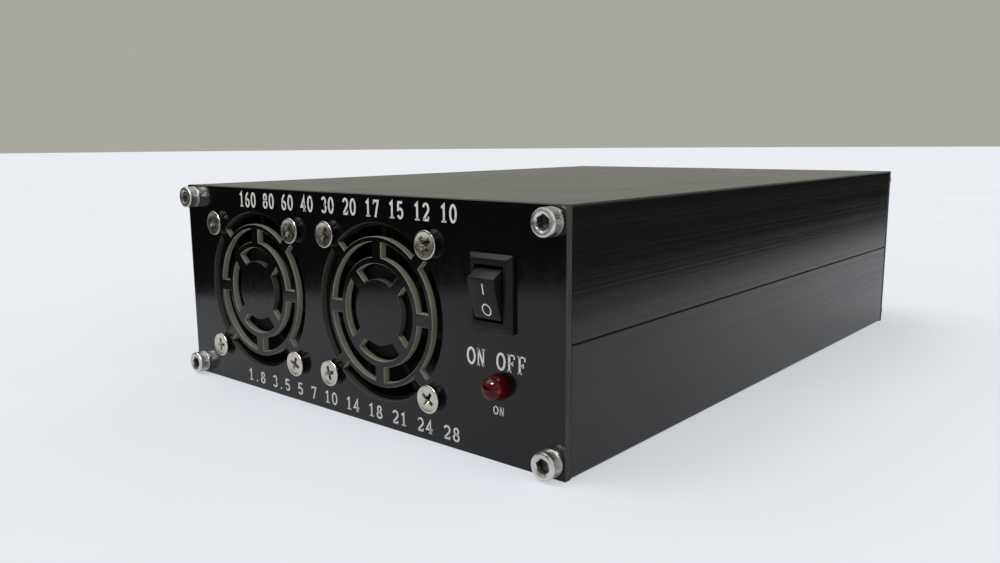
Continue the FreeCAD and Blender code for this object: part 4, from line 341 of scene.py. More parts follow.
def painted_glow_share(finish):
    """One on the walls of the grilles' narrow rings, which are painted lit as if light came through
    the thin board, and zero elsewhere.
    """
    place = finish.node("TexCoord", {}).outputs["Object"]
    level = finish.node("SeparateXYZ", {0: place}).outputs["Y"]
    flat = finish.node("VectorMath", {0: place, 1: (1, 0, 1)}, operation="MULTIPLY").outputs[0]
    inside = 0.0
    for node in ("left_fan_frame", "right_fan_frame"):
        axis = (middle(node).x, 0, middle(node).z)
        apart = finish.node("VectorMath", {0: flat, 1: axis}, operation="DISTANCE").outputs["Value"]
        beyond_hub = finish.compute("GREATER_THAN", apart, GRILLE_HUB + RIM_MARGIN)
        within_rim = finish.compute("LESS_THAN", apart, GRILLE_RIM - RIM_MARGIN)
        inside = finish.compute("MULTIPLY_ADD", beyond_hub, within_rim, inside)
    return finish.compute("MULTIPLY", inside, finish.compute("LESS_THAN", level, 0.0))


def panel_finish():
    """Glossy black solder mask on the faces, cut glass fibre on every edge and slot wall, painted lit
    on the narrow rings and with painted shade on every other cut.
    """
    mask, edge = tuple(settings("case").solder_mask), tuple(settings("case").board_edge)
    finish = Finish("panel board", mask, 0.14, gloss=0.32)
    is_face = finish.compute("GREATER_THAN", finish.normal_along("Y"), FLAT_FACE)
    plies = finish.noise(2600, 2.0, stretch=(0.05, 1, 0.05))
    crumbs = finish.noise(5200, 2.0)
    fibre = finish.compute("MULTIPLY", finish.between(plies, 0.4, 1.0),
                           finish.between(crumbs, 0.6, 1.0))
    # Painted light and shade: the cut board is lit in the narrow grille rings, as if light shone
    # through them, and painted dark on the panel's edges and wide walls.
    painted_glow_cut = finish.blend(fibre, shade(edge, 0.45), shade(edge, 1.5))
    painted_shade_cut = finish.blend(fibre, shade(edge, 0.08), shade(edge, 0.28))
    cut = finish.blend(painted_glow_share(finish), painted_shade_cut, painted_glow_cut)
    specks = finish.between(finish.noise(7000, 1.0), 0, 1, 0.73, 0.76)
    coat = finish.blend(specks, mask, shade(mask, 6))
    finish.set("Base Color", finish.blend(is_face, cut, coat))
    peel = finish.noise(900, 2.0)
    gloss = finish.compute("ADD", finish.between(peel, 0.11, 0.16),
                           finish.compute("MULTIPLY", specks, 0.3))
    finish.set("Roughness", finish.between(is_face, 0.75, gloss, 0, 1))
    finish.bump(finish.compute("ADD", finish.compute("MULTIPLY", peel, is_face), fibre),
                0.004 * MM, 0.4)
    return finish.material


def print_finish():
    """White silkscreen ink, slightly uneven."""
    finish = Finish(INK, settings("print").ink, 0.55)
    speckle = finish.noise(6000, 2.0)
    finish.set("Base Color", finish.tint(speckle, 0.78, 1.05))
    finish.bump(speckle, 0.01 * MM, 0.5)


def metal_finish(name, colour, roughness):
    """Plain or plated metal with faint clouds and hairline scratches, with painted shade in its
    recesses.
    """
    finish = Finish(name, colour, roughness, 1.0)
    clouds = finish.noise(420, 3.0)
    hairs = finish.noise(4500, 2.0, stretch=(1, 0.15, 0.4))
    plain = finish.tint(clouds, 0.86, 1.06)
    # Painted shade: the colour turns nearly black with a corner's depth in a recess.
    painted_recess_shade = finish.node("Attribute", {}, attribute_name=PAINTED_SHADE_ATTRIBUTE).outputs["Fac"]
    finish.set("Base Color", finish.blend(painted_recess_shade, plain, shade(finish.colour, 0.1)))
    finish.set("Roughness", finish.compute("ADD", finish.between(hairs, -0.05, 0.07),
                                           finish.between(clouds, roughness, roughness + 0.08)))
    finish.bump(hairs, 0.004 * MM, 0.3)
    return finish.material


def plastic_finish(name, colour, roughness, grain=2200, gloss=0.35):
    """Moulded plastic with a fine spark-eroded grain."""
    finish = Finish(name, colour, roughness, gloss=gloss)
    grains = finish.noise(grain, 3.0)
    finish.set("Base Color", finish.tint(finish.noise(120, 2.0), 0.85, 1.2))
    finish.set("Roughness", finish.between(grains, roughness - 0.05, roughness + 0.07))
    finish.bump(grains, 0.008 * MM, 0.5)
    return finish.material


def ceramic_finish(name, colour):
    """Pressed powder core: matt, with a coarse grain and darker pits."""
    finish = Finish(name, colour, 0.6)
    grains = finish.noise(1600, 4.0)
    finish.set("Base Color", finish.tint(finish.noise(900, 2.0), 1.1, 0.5, 0.62, 0.7))
    finish.set("Roughness", finish.between(grains, 0.5, 0.72))
    finish.bump(grains, 0.03 * MM, 0.6)
    return finish.material


def wire_finish(name, colour):
    """Enamelled copper wire: varnish over bright metal."""
    finish = Finish(name, colour, 0.3, 1.0)
    drawn = finish.noise(3000, 2.0)
    finish.set("Base Color", finish.tint(drawn, 0.7, 1.2))
    finish.set("Coat Weight", 0.6)
    finish.set("Coat Roughness", 0.12)
    finish.bump(drawn, 0.01 * MM, 0.4)
    return finish.material


def board_finish(name, colour):
    """Solder mask over copper tracks that run in straight bands."""
    finish = Finish(name, colour, 0.3)
    bricks = finish.node("TexBrick", {"Vector": finish.place(), "Scale": 1.0,
                                      "Mortar Size": 0.0006, "Brick Width": 0.014,
                                      "Row Height": 0.005})
    tracks = bricks.outputs["Fac"]
    finish.set("Base Color", finish.blend(tracks, colour, shade(colour, 0.45)))
    finish.set("Roughness", finish.between(finish.noise(700, 2.0), 0.24, 0.36))
    finish.bump(tracks, 0.035 * MM, 0.5)
    return finish.material


def lens_finish():
    """Red tinted clear epoxy of the lamp."""
    finish = Finish("red lens", settings("switch").lens, 0.04, gloss=0.12)
    haze = finish.noise(900, 2.0)
    finish.set("Roughness", finish.between(haze, 0.02, 0.06))
    finish.set("Transmission Weight", 0.6)
    finish.set("IOR", 1.42)
    finish.bump(haze, 0.01 * MM, 0.2)
    return finish.material


def finish_for(slot, kind, colour):
    """The finish of one of the record's material slots, chosen by its name and its class."""
    name, colours = slot.replace("_", " "), settings("case")
    if slot == "black_anodised":
        return anodised_finish()
    if slot == "black_board":
        return panel_finish()
    if slot == "led_red":
        return lens_finish()
    if slot in ("green_board", "end_board", "motor_board"):
        return board_finish(name, colour)
    if slot == "copper_wire":
        return wire_finish(name, colour)
    if slot == "nickel":
        return metal_finish(name, colours.nickel, 0.235)
    if slot == "stainless":
        return metal_finish(name, colours.steel, 0.28)
    if slot == "fan_plastic":
        return plastic_finish(name, (0.004, 0.004, 0.004), 0.55, 3000, 0.12)
    if slot in ("switch_plastic", "inlet_plastic"):
        return plastic_finish(name, colours.moulding, 0.38, 3000, 0.2)
    if kind == "ceramic":
        return ceramic_finish(name, colour)
    if kind in ("aluminium", "brushed_steel", "cast_iron", "brass", "chrome"):
        return metal_finish(name, colour, 0.55 if kind == "cast_iron" else 0.32)
    return plastic_finish(name, colour, 0.3 if kind == "gloss_plastic" else 0.5)


def finish_of_slot(slot):
    """The material of a slot, made by the first operator."""
    return bpy.data.materials["slot " + slot]


def slot_of_node(node):
    """The material slot that the record gives a node."""
    return next(part["material_slot"] for part in frame["record"]["subparts"]
                if part["node"] == node)


# --- mesh helpers

def add_object(name, data):
    """Link a mesh, a lamp or a camera into the scene."""
    made = bpy.data.objects.new(name, data)
    bpy.context.scene.collection.objects.link(made)
    return made


def add_shape(name, shape):
    """Turn a bmesh into an object with outward faces."""
    bmesh.ops.remove_doubles(shape, verts=shape.verts, dist=1e-7)
    bmesh.ops.recalc_face_normals(shape, faces=shape.faces)
    return add_object(name, mesh_from(name, shape))


def mesh_from(name, shape):
    """A mesh with what a bmesh holds; the bmesh is used up."""
    mesh = bpy.data.meshes.new(name)
    shape.to_mesh(mesh)
    shape.free()
    return mesh


def loft(rings, ends="open", shape=None):
    """A bmesh through rings of corners, its ends open, capped or looped; one corner is a tip."""
    shape = shape or bmesh.new()
    rings = [[shape.verts.new(corner) for corner in ring] for ring in rings]
    if ends == "capped":
        shape.faces.new(rings[0])
        shape.faces.new(rings[-1][::-1])
    if ends == "looped":
        rings.append(rings[0])
    for lower, upper in zip(rings, rings[1:]):
        for number in range(max(len(lower), len(upper))):
            following = number + 1
            corners = [lower[number % len(lower)], lower[following % len(lower)],
                       upper[following % len(upper)], upper[number % len(upper)]]
            corners = list(dict.fromkeys(corners))
            if len(corners) > 2:
                shape.faces.new(corners)
    return shape


def lathe(profile, segments=64, flutes=None):
    """A bmesh turned about the y axis from (radius, y) corners; flutes vary the radius."""
    rings = []
    for radius, along in profile:
        ring = []
        for number in range(segments if radius > 0 else 1):
            angle = math.tau * number / segments
            reach = radius if flutes is None else flutes(radius, along, number)
            ring.append((reach * math.cos(angle), along, reach * math.sin(angle)))
        rings.append(ring)
    return loft(rings)


def stack(*outlines, shape=None):
    """A closed bmesh through outlines of (x, z) corners, each after its level of y."""
    rings = [[(x, level, z) for x, z in outline] for level, outline in outlines]
    return loft(rings, "capped", shape)


def slab(outline, low, high, shape=None):
    """A bmesh prism from (x, z) corners between two levels of y, new or added to a shape."""
    return stack((low, outline), (high, outline), shape=shape)


def oblong(reach, half):
    """The four corners of a rectangle about the origin."""
    return ((-reach, -half), (reach, -half), (reach, half), (-reach, half))


def round_outline(radius, sides, x=0.0, z=0.0):
    """Corners of a regular polygon."""
    angles = (math.tau * number / sides for number in range(sides))
    return [(x + radius * math.cos(angle), z + radius * math.sin(angle)) for angle in angles]


def settle(piece):
    """Apply a piece's modifiers to its mesh."""
    bpy.context.view_layer.update()
    graph = bpy.context.evaluated_depsgraph_get()
    mesh = bpy.data.meshes.new_from_object(piece.evaluated_get(graph))
    piece.modifiers.clear()
    piece.data = mesh
    return piece


def carve(piece, cutter_shape):
    """Cut a bmesh out of a piece."""
    cutter = add_shape("cutter", cutter_shape)
    change = piece.modifiers.new("carve", "BOOLEAN")
    change.operation = "DIFFERENCE"
    change.solver = "EXACT"
    change.object = cutter
    settle(piece)
    bpy.data.objects.remove(cutter)
    return piece


def mark_painted_recess_shade(piece, level, depth, reach):
    """Note how deep each corner within reach of the y axis lies below a level of y, for the painted
    shade of the recess.
    """
    values = piece.data.attributes.new(PAINTED_SHADE_ATTRIBUTE, "FLOAT", "POINT").data
    for corner, value in zip(piece.data.vertices, values):
        inside = math.hypot(corner.co.x, corner.co.z) < reach
        value.value = min(1.0, max(0.0, (corner.co.y - level) / depth)) if inside else 0.0
    return piece


def bevel(piece, width, segments=2):
    """Round the sharp edges of a piece."""
    change = piece.modifiers.new("bevel", "BEVEL")
    change.width = width
    change.segments = segments
    change.limit_method = "ANGLE"
    change.angle_limit = SMOOTH_ANGLE
    return settle(piece)


def dress(piece, slot, body="case", nodes=(), material=None):
    """Give a finished piece its material, smooth faces and body, and hide what it stands for."""
    piece.data.materials.clear()
    piece.data.materials.append(material or finish_of_slot(slot))
    piece.data.polygons.foreach_set("use_smooth", [True] * len(piece.data.polygons))
    piece.data.set_sharp_from_angle(angle=SMOOTH_ANGLE)
    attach(piece, body)
    if nodes:
        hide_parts(*nodes)
    return piece


def clean_copy(node, name):
    """A copy of a node's mesh with its loose triangles joined into whole faces."""
    shape = bmesh.new()
    shape.from_mesh(frame["nodes"][node].data)
    bmesh.ops.remove_doubles(shape, verts=shape.verts, dist=2e-6)
    bmesh.ops.dissolve_limit(shape, angle_limit=math.radians(1), verts=shape.verts,
                             edges=shape.edges)
    return add_object(name, mesh_from(name, shape))


def centre_on(piece, node, aside=0.0):
    """Shift a piece made about the y axis to the middle of a node's box, or a little aside."""
    centre = middle(node)
    piece.data.transform(Matrix.Translation((centre.x + aside, 0, centre.z)))


def soften(node, name, width, body="case", segments=2):
    """Replace a node by a copy with rounded edges."""
    piece = bevel(clean_copy(node, name), width, segments)
    return dress(piece, slot_of_node(node), body, (node,))


# --- fasteners

def thread_profile(start, end, radius, pitch):
    """Zigzag corners of a thread from start to end along y."""
    turns = int(abs(end - start) / pitch)
    step = (end - start) / turns
    depth = pitch * 0.55
    corners = []
    for number in range(turns):
        corners.append((radius - depth, start + step * number))
        corners.append((radius, start + step * (number + 0.5)))
    corners.append((radius - depth, end))
    return corners


def crossed(make):
    """What a function makes, twice, the second turned a quarter about the y axis."""
    for turn in (0, math.pi / 2):
        shape = make()
        bmesh.ops.rotate(shape, verts=shape.verts, matrix=Matrix.Rotation(turn, 3, "Y"))
        yield shape


def cross_recess(piece, face, arm, width, depth):
    """Cut a cross recess that narrows as it goes in from the face."""
    for arms in crossed(lambda: stack((face - CUT_MARGIN, oblong(arm, width / 2)),
                                      (face + depth * 0.25, oblong(arm * 0.92, width * 0.45)),
                                      (face + depth, oblong(arm * 0.3, width * 0.28)))):
        carve(piece, arms)
    mouth, floor = face - CUT_MARGIN / 2, face + depth
    carve(piece, lathe([(0, mouth), (width * 0.95, mouth), (width * 0.5, floor),
                        (0, face + depth * 1.15)], 24))


def fastener_tree():
    """Nodes that put one fastener on every place, turned about its axis as it happened to stop."""
    tree = bpy.data.node_groups.new(FASTENER_TREE, "GeometryNodeTree")
    for name, kind in (("Places", "Geometry"), ("Fastener", "Object"), ("Finish", "Material"),
                       ("Facing", "Float"), ("Seed", "Int")):
        tree.interface.new_socket(name, in_out="INPUT", socket_type="NodeSocket" + kind)
    tree.interface.new_socket("Geometry", in_out="OUTPUT", socket_type="NodeSocketGeometry")
    start, source, chance, turn, instances, real, painted, end = map(tree.nodes.new, (
        "NodeGroupInput", "GeometryNodeObjectInfo", "FunctionNodeRandomValue",
        "ShaderNodeCombineXYZ", "GeometryNodeInstanceOnPoints", "GeometryNodeRealizeInstances",
        "GeometryNodeSetMaterial", "NodeGroupOutput"))
    chance.data_type = "FLOAT"
    chance.inputs[3].default_value = math.tau
    for giver, output, taker, entry in (
            (start, "Fastener", source, "Object"), (start, "Seed", chance, "Seed"),
            (chance, 1, turn, "Y"), (start, "Facing", turn, "Z"),
            (start, "Places", instances, "Points"), (source, "Geometry", instances, "Instance"),
            (turn, 0, instances, "Rotation"), (instances, 0, real, 0), (real, 0, painted, 0),
            (start, "Finish", painted, "Material"), (painted, 0, end, 0)):
        tree.links.new(giver.outputs[output], taker.inputs[entry])
    return tree


def place_fasteners(name, node, fastener, places, facing, seed):
    """Repeat a fastener at its places and let the result stand for the node."""
    mesh = bpy.data.meshes.new(name)
    mesh.from_pydata(places, [], [])
    piece = add_object(name, mesh)
    tree = bpy.data.node_groups.get(FASTENER_TREE) or fastener_tree()
    change = piece.modifiers.new("fasteners", "NODES")
    change.node_group = tree
    slot = slot_of_node(node)
    inputs = {item.name: item.identifier for item in tree.interface.items_tree
              if item.in_out == "INPUT"}
    for title, value in (("Fastener", fastener), ("Finish", finish_of_slot(slot)),
                         ("Facing", facing), ("Seed", seed + settings("fasteners").turn_seed)):
        change[inputs[title]] = value
    settle(piece)
    bpy.data.objects.remove(fastener)
    return dress(piece, slot, "case", (node,))


def grid(columns, rows, level):
    """Places at a level of y where columns and rows cross."""
    return [(x, level, z) for x in columns for z in rows]


def corner_places(node, level):
    """The axes of the cap screws in the corners of their node's box."""
    inset, low, high = settings("fasteners").cap_radius, near(node), far(node)
    return grid((low.x + inset, high.x - inset), (low.z + inset, high.z - inset), level)


def threaded(name, head, start, end, length, segments, flutes=None):
    """A head on a shank that is threaded from start to end."""
    sizes = settings("fasteners")
    thread = thread_profile(start, end, sizes.thread_radius, sizes.thread_pitch)
    return add_shape(name, lathe(head + thread + [(0, length)], segments, flutes))


def countersunk_screw(node):
    """A countersunk cross-recess screw with a domed rim; its face looks along -y at zero."""
    sizes = settings("fasteners")
    length = long(node)
    radius, shank = sizes.flat_radius, sizes.thread_radius
    rim = radius * FLAT_HEAD_RIM
    neck = radius - shank + rim
    head = [(0, rim * 0.7), (radius * 0.8, rim * 0.7), (radius * 0.87, rim * 0.07),
            (radius * 0.93, 0), (radius * 0.98, rim * 0.33), (radius, rim * 0.95),
            (radius * 0.99, rim * 1.7), (shank, neck)]
    screw = threaded("countersunk screw", head, neck + THREAD_LEAD, length - THREAD_LEAD, length, 48)
    cross_recess(screw, rim * 0.7, radius * 0.58, radius * 0.28, sizes.recess_depth)
    return mark_painted_recess_shade(screw, rim * 1.7, sizes.recess_depth * 0.6, radius * 0.67)


def socket_head_screw(node):
    """A socket-head cap screw with a knurled barrel and a bevelled rim."""
    sizes = settings("fasteners")
    length = long(node)
    radius, height, knurls = sizes.cap_radius, sizes.cap_height, sizes.knurls
    segments = knurls * 4
    plain = height / 6

    def fluted(reach, along, number):
        cut = plain < along < height - plain * 0.7 and reach > radius * 0.9
        wave = 0.5 + 0.5 * math.cos(math.tau * number * knurls / segments)
        return reach - (sizes.knurl_depth * wave if cut else 0)

    head = [(0, 0), (radius * 0.86, 0), (radius * 0.955, plain * 0.2), (radius, plain * 0.84),
            (radius, plain * 1.04), (radius, height - plain * 0.8), (radius, height - plain * 0.6),
            (radius * 0.97, height), (sizes.thread_radius, height)]
    screw = threaded("cap screw", head, height + THREAD_LEAD, length, length, segments, fluted)
    key = sizes.key_width / 2 / math.cos(math.pi / 6)
    carve(screw, slab(round_outline(key, 6), -CUT_MARGIN, sizes.key_depth))
    lead = key * 0.19
    carve(screw, lathe([(0, -lead / 3), (key * 1.25, -lead / 3), (key * 0.88, lead), (0, lead)], 36))
    return mark_painted_recess_shade(screw, lead, sizes.key_depth * 0.7, key * 1.05)


def pan_head_screw(node):
    """A pan-head cross-recess screw whose head looks along -y; zero is under the head."""
    sizes = settings("fasteners")
    radius, height, shank = sizes.pan_radius, sizes.pan_height, sizes.thread_radius
    length = long(node) - height
    head = [(0, -height), (radius * 0.5, -height * 0.985), (radius * 0.8, -height * 0.88),
            (radius * 0.96, -height * 0.6), (radius, -height * 0.3), (radius, -height * 0.06),
            (radius * 0.96, 0), (shank, 0)]
    screw = threaded("pan screw", head, THREAD_LEAD, length, length, 40)
    depth = sizes.recess_depth * 0.8
    cross_recess(screw, -height, radius * 0.54, radius * 0.28, depth)
    return mark_painted_recess_shade(screw, depth / 6 - height, depth * 0.75, radius * 0.57)


def hexagon_nut(node):
    """A nut with bevelled corners and a threaded hole, from zero along +y."""
    sizes = settings("fasteners")
    thick = long(node)
    outline = round_outline(sizes.nut_width / math.sqrt(3), 6)
    nut = add_shape("nut", slab(outline, 0, thick))
    hole = thread_profile(-CUT_MARGIN, thick + CUT_MARGIN, sizes.thread_radius * 1.03,
                          sizes.thread_pitch)
    carve(nut, lathe([(0, -CUT_MARGIN)] + hole + [(0, thick + CUT_MARGIN)], 32))
    return bevel(nut, CUT_MARGIN, 2)


def fan_places(node, level):
    """The eight fixing holes of the fans, for screws and nuts alike."""
    inset, low, high = settings("fasteners").flat_radius, near("fan_screws"), far("fan_screws")
    left, right = low.x + inset, high.x - inset
    return grid((left, left + FAN_HOLES, right - FAN_HOLES, right),
                (low.z + inset, high.z - inset), level)


def rear_places(node, level):
    """The fixing holes of both RF sockets and of the inlet, for screws and nuts alike."""
    half = settings("sockets").flange_holes / 2
    places = []
    for socket in ("rf_output_shell", "rf_input_shell"):
        x, _, z = middle(socket)
        places += grid((x - half, x + half), (z - half, z + half), level)
    inlet = middle("dc_inlet_housing")
    screws = (far("socket_screws").z - near("socket_screws").z) / 2
    reach = screws - settings("fasteners").pan_radius
    return places + grid((inlet.x,), (inlet.z - reach, inlet.z + reach), level)


# --- prints and marks

def arc(x, z, across, up, start, end, steps=12):
    """Points along an upright oval arc between two angles in degrees."""
    angles = (math.radians(start + (end - start) * step / steps) for step in range(steps + 1))
    return [(x + across * math.cos(angle), z + up * math.sin(angle)) for angle in angles]


THIN, THICK = 0.085, 0.14
LETTERS = {
    "O": ((THICK, arc(0.44, 0.5, 0.36, 0.44, 0, 360, 28)),),
    "N": ((THIN, ((0.18, 0), (0.18, 1))), (THICK, ((0.2, 0.96), (0.68, 0.04))),
          (THIN, ((0.7, 0), (0.7, 1))), (THIN, ((0.05, 0.04), (0.33, 0.04))),
          (THIN, ((0.04, 0.96), (0.28, 0.96))), (THIN, ((0.56, 0.96), (0.84, 0.96)))),
    "F": ((THICK, ((0.25, 0), (0.25, 1))), (THIN, ((0.08, 0.96), (0.78, 0.96))),
          (THIN, ((0.25, 0.5), (0.6, 0.5))), (THIN, ((0.08, 0.04), (0.45, 0.04))),
          (THIN, ((0.74, 0.74), (0.74, 1))), (THIN, ((0.58, 0.38), (0.58, 0.62)))),
    "0": ((THICK, arc(0.45, 0.5, 0.3, 0.44, 0, 360, 28)),),
    "1": ((THICK, ((0.2, 0.78), (0.46, 0.93), (0.46, 0.05))), (THIN, ((0.2, 0.05), (0.72, 0.05)))),
    "2": ((THICK, arc(0.45, 0.68, 0.29, 0.26, 165, -35) + [(0.18, 0.08)]),
          (THICK, ((0.14, 0.07), (0.76, 0.07))), (THIN, ((0.74, 0.07), (0.74, 0.25)))),
    "3": ((THICK, arc(0.44, 0.71, 0.25, 0.23, 155, -90)),
          (THICK, arc(0.44, 0.28, 0.29, 0.22, 90, -155))),
    "4": ((THICK, ((0.58, 0), (0.58, 0.93), (0.14, 0.3), (0.8, 0.3))),
          (THIN, ((0.4, 0.04), (0.76, 0.04)))),
    "5": ((THICK, [(0.72, 0.93), (0.24, 0.93), (0.2, 0.52)]
           + arc(0.44, 0.32, 0.28, 0.26, 120, -155)),),
    "6": ((THICK, arc(0.45, 0.29, 0.27, 0.24, 0, 360, 20)),
          (THICK, arc(0.68, 0.33, 0.5, 0.62, 178, 95))),
    "7": ((THIN, ((0.16, 0.74), (0.16, 0.93))), (THICK, ((0.13, 0.93), (0.74, 0.93), (0.38, 0)))),
    "8": ((THICK, arc(0.45, 0.73, 0.22, 0.2, 0, 360, 20)),
          (THICK, arc(0.45, 0.27, 0.28, 0.22, 0, 360, 20))),
    ".": ((THICK, ((0.42, 0), (0.42, 0.14))),),
}
METRES = "160 80 60 40 30 20 17 15 12 10"
MEGAHERTZ = "1.8 3.5 5 7 10 14 18 21 24 28"


def pen_line(points, width):
    """Four-cornered outlines that follow a line at an even width, with mitred corners."""
    points = [Vector(point) for point in points]
    last = len(points) - 1
    closed = (points[0] - points[-1]).length < width / 50
    edges = []
    for number, point in enumerate(points):
        before, after = points[max(number - 1, 0)], points[min(number + 1, last)]
        if closed and number in (0, last):
            before, after = points[-2], points[1]
        coming, going = (point - before).normalized(), (after - point).normalized()
        along = (coming + going).normalized()
        reach = width / 2 / max(0.4, along.dot(coming), along.dot(going))
        side = Vector((-along.y, along.x)) * reach
        edges.append((point + side, point - side))
    return [(a, c, d, b) for (a, b), (c, d) in zip(edges, edges[1:])]


def write(name, text, x, z, height, pitch):
    """Printed lettering on the front panel, centred on (x, z)."""
    level = FRONT_FACE - settings("print").thickness
    left = x - pitch * len(text) / 2
    shape = bmesh.new()
    for place, letter in enumerate(text):
        for pen, points in LETTERS.get(letter, ()):
            line = [(left + pitch * (place + across), z + height * (up - 0.5))
                    for across, up in points]
            for outline in pen_line(line, pen * height):
                slab(outline, level, FRONT_FACE, shape)
    return add_shape(name, shape)


def drape(piece, target, lift):
    """Lay a flat mark on a target, seen from the front, and lift it off by a hair."""
    shape = bmesh.new()
    shape.from_mesh(target.data)
    tree = BVHTree.FromBMesh(shape)
    shape.free()
    for corner in piece.data.vertices:
        depth = corner.co.y
        start = Vector((corner.co.x, FRONT_FACE - 20 * MM, corner.co.z))
        hit = tree.ray_cast(start, Vector((0, 1, 0)))[0]
        if hit is None:
            raise RuntimeError(f"{piece.name} misses what carries it")
        corner.co.y = hit.y - lift + depth
    return piece


def flat_bar(x, z, height, width, thick, rows=16):
    """A thin upright bar in the x-z plane, cut across into rows, ready to be draped."""
    corners = [(side, 0) for side in (-1, 0, 1)] + [(side, thick) for side in (1, 0, -1)]
    return loft([[(x + side * width / 2, level, z + height * (row / rows - 0.5))
                  for side, level in corners] for row in range(rows + 1)], "capped")


def flat_ring(x, z, radius, width, thick, segments=48):
    """A thin upright oval ring in the x-z plane, ready to be draped."""
    angles = [math.tau * number / segments for number in range(segments)]
    inner, outer = radius - width / 2, radius + width / 2
    return loft([[(x + reach * math.cos(angle), level, z + reach * RING_HEIGHT * math.sin(angle))
                  for angle in angles]
                 for level, reach in ((0, inner), (0, outer), (thick, outer), (thick, inner))],
                "looped")


# --- operators

class PieceOperator:
    """What every operator of this add-on shares."""

    bl_options = {"REGISTER", "UNDO"}


class AMPLIFIER_OT_finishes(PieceOperator, bpy.types.Operator):
    """Make every finish and paint the nodes of the frame"""

    bl_idname = "amplifier.finishes"
    bl_label = "Finishes"

    def execute(self, context):
        for entry in frame["record"]["materials"]:
            material = finish_for(entry["slot"], entry["class"], tuple(entry["base_color"][:3]))
            material.name = "slot " + entry["slot"]
        print_finish()
        for part in frame["record"]["subparts"]:
            mesh = frame["nodes"][part["node"]].data
            mesh.materials.clear()
            mesh.materials.append(finish_of_slot(part["material_slot"]))
        return {"FINISHED"}


class AMPLIFIER_OT_panel_screws(PieceOperator, bpy.types.Operator):
    """Put detailed screws and nuts on both end panels"""

    bl_idname = "amplifier.panel_screws"
    bl_label = "Screws and nuts"

    def execute(self, context):
        seat = far("socket_screws").y - settings("fasteners").pan_height
        ahead, back = 0.0, math.pi
        front, rear = "front_panel_screws", "rear_panel_screws"
        for name, node, fastener, places, level, facing, seed in (
                ("front_cap_screws", front, socket_head_screw, corner_places, near(front).y, ahead, 1),
                ("rear_cap_screws", rear, socket_head_screw, corner_places, far(rear).y, back, 2),
                ("fan_countersunk_screws", "fan_screws", countersunk_screw, fan_places,
                 near("fan_screws").y, ahead, 3),
                ("fan_hexagon_nuts", "fan_nuts", hexagon_nut, fan_places,
                 near("fan_nuts").y, ahead, 5),
                ("rear_pan_screws", "socket_screws", pan_head_screw, rear_places, seat, back, 7),
                ("rear_hexagon_nuts", "socket_nuts", hexagon_nut, rear_places,
                 near("socket_nuts").y, ahead, 8)):
            place_fasteners(name, node, fastener(node), places(node, level), facing, seed)
        return {"FINISHED"}


class AMPLIFIER_OT_front_panel(PieceOperator, bpy.types.Operator):
    """Break the cut edges of the front panel, round its rim and round every slot and hole"""

    bl_idname = "amplifier.front_panel"
    bl_label = "Front panel"

    def execute(self, context):
        board = soften("front_panel", "front_board", settings("case").panel_chamfer, segments=1)
        for face in board.data.polygons:
            face.use_smooth = abs(face.normal.y) < FLAT_FACE
        return {"FINISHED"}


class AMPLIFIER_OT_switch(PieceOperator, bpy.types.Operator):
    """Round the edges of the switch and put its two marks on the rocker"""

    bl_idname = "amplifier.switch"
    bl_label = "Rocker switch"

    def execute(self, context):
        sizes = settings("switch")
        soften("switch_housing", "switch_bezel", sizes.bezel_round)
        rocker = soften("switch_rocker", "switch_rocker_cap", sizes.rocker_round, "rocker", 3)
        x = middle("switch_housing").x + sizes.mark_shift
        z = middle("switch_rocker").z
        for name, make, (shift, length, width) in (("rocker_mark_on", flat_bar, sizes.bar),
                                                   ("rocker_mark_off", flat_ring, sizes.ring)):
            mark = add_shape(name, make(x, z + shift, length, width, sizes.ink))
            drape(mark, rocker, sizes.ink)
            dress(mark, "switch_plastic", "rocker", material=bpy.data.materials[INK])
        return {"FINISHED"}


class AMPLIFIER_OT_lamp(PieceOperator, bpy.types.Operator):
    """Make the clear red lens with what stands inside it"""

    bl_idname = "amplifier.lamp"
    bl_label = "Lamp"

    def execute(self, context):
        tip, end = near("led_lens").y, far("led_lens").y
        lens = add_shape("lamp_lens", self.lens(tip, end))
        centre_on(lens, "led_lens")
        dress(lens, "led_red", "case", ("led_lens",))
        cup = add_shape("lamp_reflector", self.cup(tip, end))
        centre_on(cup, "led_lens", settings("switch").lens_radius * 0.14)
        dress(cup, "lead_steel")
        return {"FINISHED"}

    def lens(self, tip, end):
        """A round dome that runs into a collar with a small flange."""
        sizes = settings("switch")
        radius, wide, corner = sizes.lens_radius, sizes.flange_radius, 0.1 * MM
        flange = end - sizes.flange_thick
        steps = (math.pi / 2 * step / 16 for step in range(17))
        dome = [(radius * math.sin(angle), tip + radius * (1 - math.cos(angle)))
                for angle in steps]
        collar = [(radius, flange - corner), (radius + corner, flange), (wide - corner, flange),
                  (wide, flange + corner), (wide, end - corner), (wide - corner, end), (0, end)]
        return lathe(dome + collar)

    def cup(self, tip, end):
        """The small reflector cup on its post, in the middle of the lens."""
        unit = settings("switch").lens_radius
        rim, foot = tip + unit * 1.28, end - unit * 0.12
        return lathe([(0, rim + unit * 0.2), (unit * 0.14, rim + unit * 0.18),
                      (unit * 0.3, rim), (unit * 0.38, rim), (unit * 0.32, rim + unit * 0.52),
                      (unit * 0.1, rim + unit * 0.8), (unit * 0.1, foot), (0, foot)], 24)


